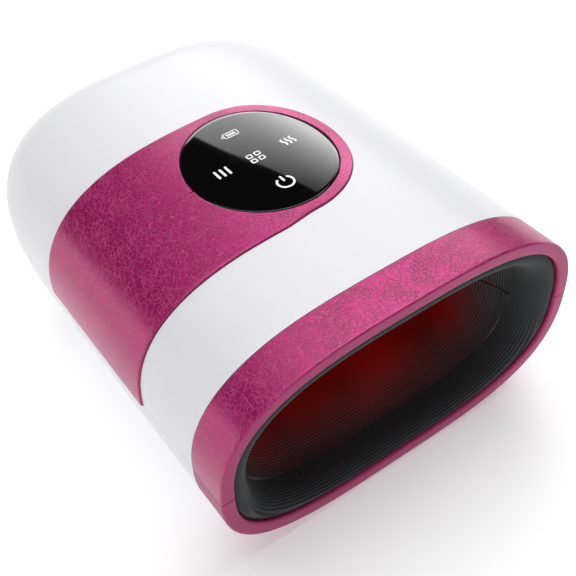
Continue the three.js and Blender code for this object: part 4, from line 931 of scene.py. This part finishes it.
# %% Inside finishes
inside |= {
    "black_rubber": plain("black_moulded_rubber", "#232325", "#303033", 6, (0.75, 0.9), (0.5, 0.5)),
    "frame_plastic": plain("grey_glass_filled_nylon", "#54575C", "#65686D", 12, (0.5, 0.65), (0.8, 0.3)),
    "air_bag_vinyl": plain("milky_welded_vinyl", "#8A8D92", "#A3A6AB", 18, (0.35, 0.5), (3, 0.5), Coat_Weight=0.3),
    "foam_pad": plain("black_open_cell_foam", "#303236", "#505257", 1.1, (0.9, 1.0), (0.9, 1.0)),
    "steel": plain("drawn_steel", "#A9ACB2", "#C6C9CE", 4, (0.24, 0.4), (0.6, 0.15), Metallic=1.0),
    "brass": plain("turned_brass", "#B98F3B", "#D0AC5E", 3, (0.25, 0.4), (0.5, 0.15), Metallic=1.0),
    "cell_wrap": plain("blue_heat_shrink", "#2A67A8", "#3576B8", 20, (0.3, 0.42), (6, 0.2)),
    "clear_hose": plain(
        "translucent_silicone", "#CDD0D3", "#E2E4E6", 8, (0.25, 0.4), (1.5, 0.15),
        Subsurface_Weight=0.3, Subsurface_Scale=0.002,
    ),
    "pump_plastic": plain("black_acetal", "#1C1D20", "#292B2F", 5, (0.35, 0.5), (0.6, 0.2)),
    "ribbon_film": plain("polyimide_flat_cable", "#C9CBD0", "#E4E5E9", 3, (0.35, 0.5)),
}

# Heating film: an etched trace that runs back and forth 4 mm apart on amber polyimide.
FILM_PITCH = 0.004
inside["heat_film"], tree, shader, where = finish("etched_heating_film", Roughness=0.4)
trace = add(tree, "TexWave", {"Vector": where, "Scale": 0.314159 / FILM_PITCH}, bands_direction="X")
etched = add(tree, "MapRange", {"Value": trace.outputs[1], "From Min": 0.6, "From Max": 0.75})
blend = add(tree, "Mix", {0: etched, 6: linear("#A85E1A"), 7: linear("#D9A066")}, **COLOURS)
feed(shader, {"Base Color": blend.outputs[2], "Metallic": etched})

# Circuit board: green solder mask over copper runs, drawn 2.5 mm apart.
inside["green_board"], tree, shader, where = finish("green_solder_mask", Roughness=0.42)
runs = add(tree, "TexBrick", {"Vector": where, "Scale": per(2.5), "Mortar Size": 0.03})
feed(runs, {"Color1": linear("#1B6A41"), "Color2": linear("#1F7449"), "Mortar": linear("#3B9160")})
relief = add(tree, "Bump", {"Height": runs.outputs[1], "Strength": 0.4, "Distance": 0.0001})
feed(shader, {"Base Color": runs, "Normal": relief})

slot_of = {part["node"]: part["material_slot"] for part in frame["record"]["subparts"]}
dressed = {name: node for name, node in frame["nodes"].items() if slot_of.get(name) in inside}
for name, node in dressed.items():
    for own in node.material_slots:
        own.material = inside[slot_of[name]]
print("CAD nodes with a finish:", len(dressed))

# %% [markdown]
# ## Soft pieces inside
# The air bags are two vinyl sheets welded at their rim, the press pad is a foam cushion. A cube, subdivided and
# squeezed to a rounded plan with a swollen middle, gives both. A bag lies between the housing and its press, in one
# fixed shape. Its tail is a tube to the frame's back wall.

# %% Air bags, their tails and the foam pad
BAG_HALF, BAG_FRONT, BAG_BACK, BAG_THICK = 40.0, 54.0, 144.0, 4.8
TAIL_RADIUS = 2.2


def pillow(half, front, back, middle, thick, rim, power, crown):
    """A cushion with a rounded plan, thin at its rim and crowned in its middle."""
    bm = bmesh.new()
    bmesh.ops.create_cube(bm, size=2)
    flat = [e for e in bm.edges if abs(e.verts[0].co.z - e.verts[1].co.z) < 1e-6]
    bmesh.ops.subdivide_edges(bm, edges=flat, cuts=31, use_grid_fill=True)
    for v in bm.verts:
        u, w, up = v.co
        most = max(abs(u), abs(w))
        pull = most / max(1e-9, (abs(u) ** power + abs(w) ** power) ** (1 / power))
        swell = (1 - most**crown) ** 0.5
        height = rim + (thick / 2 - rim) * swell
        height *= 1 - 0.05 * noise.noise(Vector((u * 3, w * 3, up))) * swell
        v.co = place(half * u * pull, (front + back) / 2 + (back - front) / 2 * w * pull, middle + up * height)
    return outward(bm)


def tube(path, radius, sides=14):
    """A round bar along a path of points of the drawing."""
    points = [Vector(p) for p in path]
    side = Vector((1, 0, 0)) if abs((points[1] - points[0]).normalized().x) < 0.9 else Vector((0, 0, 1))
    rings = []
    for k, point in enumerate(points):
        way = (points[min(k + 1, len(points) - 1)] - points[max(k - 1, 0)]).normalized()
        side = (side - way * side.dot(way)).normalized()
        rings.append((point, side.copy(), way.cross(side)))

    def corner(i, j):
        point, a, b = rings[i]
        turn = 2 * math.pi * j / sides
        return point + a * radius * math.cos(turn) + b * radius * math.sin(turn)

    return wrapped(len(points) - 1, sides, corner)


bags = (("upper", 34.6, "upper_press", 37.0, 32.2, -27.0), ("palm", -37.4, "palm_press", -39.8, -35.0, -8.2))
for name, middle, press, fixed, moved, tail_x in bags:
    body = pillow(BAG_HALF, BAG_FRONT, BAG_BACK, middle, BAG_THICK, rim=0.35, power=10, crown=9)
    bag = piece(f"{name}_air_bag_welded", body, None, "air_bag_vinyl", [f"{name}_air_bag"], sharp=CLOTH_SHARP)
    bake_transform(bag)
    body = tube([(tail_x, y, middle) for y in spread(BAG_BACK - 3, 170, 12)], TAIL_RADIUS)
    tail = piece(f"{name}_air_bag_tail", body, None, "air_bag_vinyl", sharp=CLOTH_SHARP)
    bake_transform(tail)

body = pillow(half=44, front=50, back=155, middle=29.2, thick=3.6, rim=1.35, power=12, crown=14)
press_pad = piece("upper_press_foam", body, "upper_press", "foam_pad", ["upper_press_pad"], sharp=CLOTH_SHARP)

# %% [markdown]
# ## Hoses, springs and the flat cable
# The silicone hoses are formed to their bends, so their shape is a smooth curve through a few points, as a bender's
# sheet would give it. A valve spring is a small wire ring that is spun up round the plunger. The real one is squashed
# as the plunger comes down; this one is fixed to the housing at its rest length. The touch board's flat cable arches
# over the frame and drops to its socket on the main board.

# %% Formed hoses
PUMP_Y, HOSE_RADIUS, HOSE_SIDES = 184.5, 2.2, 20
BLENDS = (((0, 1), (1, 2), (2, 3)), ((0, 2), (1, 3)), ((1, 2),))  # the knots that each round of the curve lies between


def eased(points, steps):
    """A centripetal Catmull-Rom curve through some points."""
    points = [Vector(p) for p in points]
    points = [2 * points[0] - points[1]] + points + [2 * points[-1] - points[-2]]
    path = []
    for near in zip(points, points[1:], points[2:], points[3:]):
        knots = [0.0]
        for p, q in zip(near, near[1:]):
            knots.append(knots[-1] + (q - p).length ** 0.5)
        for t in spread(knots[1], knots[2], steps)[:-1]:
            row = near
            for spans in BLENDS:
                shares = [(t - knots[low]) / (knots[high] - knots[low]) for low, high in spans]
                row = [p.lerp(q, share) for p, q, share in zip(row, row[1:], shares)]
            path.append(row[0])
    return path + [points[-2]]


runs = {
    "upper_bag_hose": [
        (-27, 170.3, 34.6), (-27, 174.8, 34.6), (-27, 187.4, 32.6), (-31.5, 191.9, 30.6), (-38, 191.9, 28.6),
        (-54.5, 191.9, 24.75), (-61.3, 188.2, 15.75), (-61.3, PUMP_Y, 7.9), (-56.8, PUMP_Y, 5.9), (-52.3, PUMP_Y, 5.9),
    ],
    "palm_bag_hose": [
        (-8.2, 170.3, -37.4), (-8.2, 174.8, -37.4), (-8.2, 182.5, -32.9),
        (-8.2, PUMP_Y, -23.9), (-8.2, PUMP_Y, -4.4), (-8.2, PUMP_Y, 0.1),
    ],
    "pump_hose": [(-16.9, PUMP_Y, z) for z in (-4.7, -2.3, 0.1)],
}
for name, run in runs.items():
    body = tube(eased(run, 9), HOSE_RADIUS, HOSE_SIDES)
    piece(f"{name}_formed", body, "housing", "clear_hose", [name], sharp=CLOTH_SHARP)

# %% Valve springs
VALVE_Y, SPRING_RADIUS, SPRING_WIRE, SPRING_TURNS, SPRING_LOW, SPRING_HIGH = 179.4, 2.75, 0.3, 4, 23.32, 27.45
STROKE, TURN_STEPS = 2.0, 32


def coil(x):
    """A wire ring spun up into a coil."""
    bm = bmesh.new()
    ring = Matrix.Translation(place(x + SPRING_RADIUS, VALVE_Y, SPRING_LOW)) @ Matrix.Rotation(QUARTER, 4, "X")
    bmesh.ops.create_circle(bm, cap_ends=False, segments=10, radius=SPRING_WIRE / 1000, matrix=ring)
    steps = SPRING_TURNS * TURN_STEPS
    bmesh.ops.spin(
        bm, geom=bm.verts[:] + bm.edges[:], cent=place(x, VALVE_Y, SPRING_LOW), axis=(0, 0, 1),
        dvec=Vector((0, 0, (SPRING_HIGH - SPRING_LOW) / 1000 / steps)),
        angle=2 * math.pi * SPRING_TURNS, steps=steps, use_merge=False, use_duplicate=False,
    )
    return capped(bm)


for name, x in (("upper", -38.0), ("palm", -16.0)):
    spring = piece(f"{name}_valve_coil", coil(x), "housing", "steel", [f"{name}_valve_spring"], sharp=CLOTH_SHARP)
    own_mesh(spring)

# %% The touch board's flat cable
CABLE_X, CABLE_HALF, CABLE_THICK = -8.0, 6.0, 0.4
cable_run = ((132.19, 43.1), (149.1, 42.6), (166.0, 41.6), (168.15, 40.7), (170.3, 38.0), (170.3, 31.3))
cable_path = eased([(CABLE_X, y, z) for y, z in cable_run], 8)


def cable_corner(i, j):
    way = (cable_path[min(i + 1, len(cable_path) - 1)] - cable_path[max(i - 1, 0)]).normalized()
    across = 1 if j % 4 in (1, 2) else -1
    over_face = 1 if j % 4 in (2, 3) else -1
    edge = cable_path[i] + Vector((across * CABLE_HALF, 0, 0))
    return edge + Vector((0, -way.z, way.y)) * over_face * CABLE_THICK / 2


cable_body = wrapped(len(cable_path) - 1, 4, cable_corner)
piece("touch_flat_cable", cable_body, "housing", "ribbon_film", ["touch_ribbon"])

# %% [markdown]
# ## Feet
# Each foot is a turned rubber plug: a rounded rim and one raised ring that grips the table. A profile carried once
# round its axis gives it, with the same grid that makes the other forms.

# %% Rubber feet
foot_profile = [(0, -45.8), (6.5, -45.8), (6.5, -49.6), (6.42, -50.1), (6.2, -50.45), (5.85, -50.64), (5.4, -50.7)]
foot_profile += [(5.0, -50.66), (4.7, -50.4), (4.4, -50.2), (3.4, -50.2), (3.1, -50.5), (2.8, -50.62), (2.3, -50.62)]
foot_profile += [(2.0, -50.5), (1.7, -50.2), (0, -50.2)]


def turned(profile, across, along, sides, lying=False, lobed=0):
    """A profile of (radius, height) pairs carried round an axis: upright through x, y, or lying through y, z.
    The first lobed rows get the six lobes of a screw's recess."""
    def corner(i, j):
        radius, height = profile[j]
        turn = 2 * math.pi * i / sides
        radius *= 1 + 0.2 * math.cos(6 * turn) * (j < lobed)
        u, v = across + radius * math.cos(turn), along + radius * math.sin(turn)
        return (height, u, v) if lying else (u, v, height)

    return wrapped(sides, len(profile) - 1, corner)


for number, (x, y) in enumerate(FEET, 1):
    body = turned(foot_profile, x, y, POST_SIDES)
    piece(f"foot_plug_{number}", body, "housing", "black_rubber", [f"rubber_foot_{number}"])

# %% [markdown]
# ## Turned metal and the cells
# The same turning gives the casing screws with their lobed recess and their thread, drawn as rings 0.8 mm apart, the
# pump's motor with its rubber sleeve, and the two cells: a nickelled can with a nub at its plus end, in a shrunk sleeve
# that folds over both ends.

# %% Casing screws
screw_profile = [(0, -9.1), (0.85, -9.2), (1.05, -10.0), (1.3, -10.1), (2.1, -10.0), (2.6, -9.7), (2.8, -9.2)]
screw_profile += [(2.8, -8.3), (1.0, -8.3)]
THREAD_RINGS, THREAD_PITCH, SCREW_SIDES = 20, 0.8, 36
for ring in range(THREAD_RINGS):
    screw_profile += [(1.0, -8.0 + THREAD_PITCH * ring), (1.19, -7.6 + THREAD_PITCH * ring)]
screw_profile += [(0.8, 8.5), (0.2, 9.0), (0, 9.0)]
for number, (x, y) in enumerate(SCREWS, 1):
    body = turned(screw_profile, x, y, SCREW_SIDES, lobed=3)
    piece(f"housing_screw_{number}", body, "housing", "steel", [f"casing_screw_{number}"])

# %% Battery cells
CELL_Y, FINE_SIDES = 183.0, 64
can_profile = [(0, -1.3), (8.1, -1.3), (8.7, -1.1), (8.9, -0.6), (8.9, 60.4), (8.7, 60.9), (8.1, 61.2), (6.4, 61.2)]
can_profile += [(6.2, 60.7), (3.5, 60.7), (3.2, 61.0), (3.2, 62.2), (2.9, 62.5), (0, 62.5)]
sleeve_profile = [(7.4, -1.5), (8.6, -1.5), (9.05, -1.2), (9.2, -0.7), (9.2, 60.6), (9.05, 61.1), (8.6, 61.4)]
sleeve_profile += [(7.4, 61.4), (7.4, 61.25), (8.3, 61.25), (8.95, 60.6), (8.95, -0.7), (8.3, -1.35), (7.4, -1.35)]
sleeve_profile += sleeve_profile[:1]
for number, height in ((1, -23.5), (2, -3.9)):
    can, sleeve = (turned(profile, CELL_Y, height, FINE_SIDES, lying=True) for profile in (can_profile, sleeve_profile))
    piece(f"cell_can_{number}", can, "housing", "steel")
    piece(f"cell_sleeve_{number}", sleeve, "housing", "cell_wrap", [f"battery_cell_{number}"])

# %% Pump
PUMP_Z = -22.0
motor_profile = [(0, -39.8), (1.35, -39.8), (1.35, -34.8), (3.7, -34.8), (4.0, -35.1), (4.0, -36.0), (11.2, -36.0)]
motor_profile += [(11.8, -36.3), (12.0, -36.9), (12.0, -61.0), (11.8, -61.6), (11.2, -61.8), (10.2, -61.8)]
motor_profile += [(10.0, -61.4), (4.6, -61.4), (4.4, -61.9), (4.1, -62.0), (0, -62.0)]
boot_profile = [(12.35, -59.0), (13.7, -59.0), (14.1, -58.6), (14.1, -54.4), (13.6, -54.0), (13.6, -53.2)]
boot_profile += [(14.1, -52.8), (14.1, -47.2), (13.6, -46.8), (13.6, -46.0), (14.1, -45.6), (14.1, -41.4)]
boot_profile += [(13.7, -41.0), (12.35, -41.0), (12.35, -59.0)]
crank_profile = [(12.6, -35.7), (12.9, -35.4), (12.9, -25.6), (13.4, -25.2), (13.4, -23.0), (13.1, -22.7)]
crank_profile += [(7.3, -22.7), (7.0, -23.0), (7.0, -24.4), (11.7, -24.4), (11.7, -35.7), (12.6, -35.7)]
membrane_profile = [(0, -22.4), (12.8, -22.4), (13.0, -22.2), (13.0, -21.4), (12.8, -21.2), (0, -21.2)]
for name, profile, slot, node in (
    ("pump_motor_can", motor_profile, "steel", "pump_motor"),
    ("pump_motor_boot", boot_profile, "black_rubber", "pump_motor_sleeve"),
    ("pump_crank_housing", crank_profile, "pump_plastic", "pump_crank_case"),
    ("pump_membrane", membrane_profile, "black_rubber", "pump_diaphragm"),
):
    piece(name, turned(profile, PUMP_Y, PUMP_Z, FINE_SIDES, lying=True), "housing", slot, [node])

# %% [markdown]
# ## The floor, the light and the camera
# The photograph is a bright catalogue picture: a white ground, a broad soft light from above that is brighter on its
# right, weaker ones from the left and the front, a low strip that draws the pale stripe down the band, with the dim
# room above it for the dark fold on the band's shoulder, and one panel behind on the right, whose straight edge the
# touch panel mirrors. The camera stands where the perspective of the rim and the panel puts it.

# %% Floor
bm = bmesh.new()
bmesh.ops.create_grid(bm, x_segments=8, y_segments=8, size=4)
ground = shown("studio_floor", meshed(bm, "studio_floor"))
# White paper with a painted glow: an emission that is weaker near the object and stronger away from it, so the ground
# stays white as the ground of a catalogue picture is.
paper, tree, shader, where = finish("white_paper_floor_painted_glow", Roughness=0.95, Emission_Color=linear("#FFFFFF"))
near = add(tree, "Mapping", {"Vector": where, "Scale": (0.4, 0.4, 0.4)})
ball = add(tree, "TexGradient", {"Vector": near}, gradient_type="SPHERICAL")
reach = {"From Min": 0.85, "From Max": 0.3, "To Min": 0.3, "To Max": 0.9}
feed(shader, {"Emission Strength": add(tree, "MapRange", {"Value": ball.outputs[1], **reach})})
mottled(tree, where, shader, "#FAFAFA", "#FFFFFF", 400)
ground.data.materials.append(paper)

# %% Lights
def softbox(name, watts, width, height, location, target):
    """A rectangular softbox that faces a point."""
    light = bpy.data.lights.new(name, "AREA")
    light.shape, light.size, light.size_y, light.energy = "RECTANGLE", width, height, watts
    made = shown(name, light)
    made.location = location
    made.rotation_euler = (Vector(target) - Vector(location)).to_track_quat("-Z", "Y").to_euler()
    return made


def graded(light, across, start, stop, low, high):
    """Radiance that changes over a softbox: low where across, times the place on it, is start, high where it is
    stop. The energy is the one at which the emission's strength is the radiance."""
    light.data.energy = math.pi * light.data.size * light.data.size_y
    light.data.use_nodes = True
    tree = light.data.node_tree
    spot = add(tree, "NewGeometry").outputs["Parametric"]
    along = add(tree, "VectorMath", {0: spot, 1: across}, operation="DOT_PRODUCT").outputs["Value"]
    fade = {"From Min": start, "From Max": stop, "To Min": low, "To Max": high}
    feed(tree.nodes["Emission"], {"Strength": add(tree, "MapRange", {"Value": along, **fade})})


# The overhead softbox is brighter on its right, which lights the top of the trims more than the left side.
overhead = softbox("overhead_softbox", 1, 2.1, 1.2, (-0.05, 0.28, 1.25), (-0.05, 0.28, 0))
graded(overhead, (1, 0, 0), 0.0, 1.0, 0.5, 3.8)
AIM = (0, 0, 0.05)
softbox("left_softbox", 1.5, 0.5, 1.0, (-1.2, -0.3, 0.7), AIM)
softbox("low_strip", 2.4, 1.4, 0.3, (-1.45, 0.85, 0.2), AIM)
softbox("front_softbox", 4.2, 1.2, 0.6, (-0.5, -1.4, 0.7), AIM)

# The panel that the touch panel mirrors: its left edge is the straight edge of the glare, which brightens away from it.
glare = softbox("back_right_panel", 1, 1.1, 1.8, (1.264, 1.585, 1.2), (1.264, 1.585, 0))
glare.rotation_euler = (0, 0, math.radians(20.3))
graded(glare, (9.35, 10.3, 0), 3.6, 11.6, 0.0, 8.0)

# The room: a bright horizon, a dimmer stretch above it that the band's shoulder mirrors, and a dim ceiling.
world = bpy.data.worlds.new("studio")
world.use_nodes = True
tree = world.node_tree
way = add(tree, "SeparateXYZ", {0: add(tree, "TexCoord").outputs["Generated"]})
ramp = add(tree, "ValToRGB", {"Fac": way.outputs[2]})
stops = ((0.05, 0.35), (0.14, 0.1), (0.5, 0.02), (0.9, 0.02), (1.0, 0.5))
while len(ramp.color_ramp.elements) < len(stops):
    ramp.color_ramp.elements.new(0.5)
for stop, (position, level) in zip(ramp.color_ramp.elements, stops):
    stop.position, stop.color = position, (level, level, level * 1.02, 1)
feed(tree.nodes["Background"], {"Color": ramp})
bpy.context.scene.world = world
bpy.context.scene.view_settings.view_transform = "Standard"

# %% Camera
lens = bpy.data.cameras.new("catalogue_camera")
lens.lens, lens.sensor_width = 64.25, 36
camera = shown("catalogue_camera", lens)
rightward, upward, backward = (0.81608, -0.57369, -0.06986), (0.45141, 0.55727, 0.6969), (-0.36088, -0.60027, 0.71375)
turn = Matrix((rightward, upward, backward)).transposed().to_4x4()
camera.matrix_world = Matrix.Translation((-0.16226, -0.29833, 0.36439)) @ turn
bpy.context.scene.camera = camera
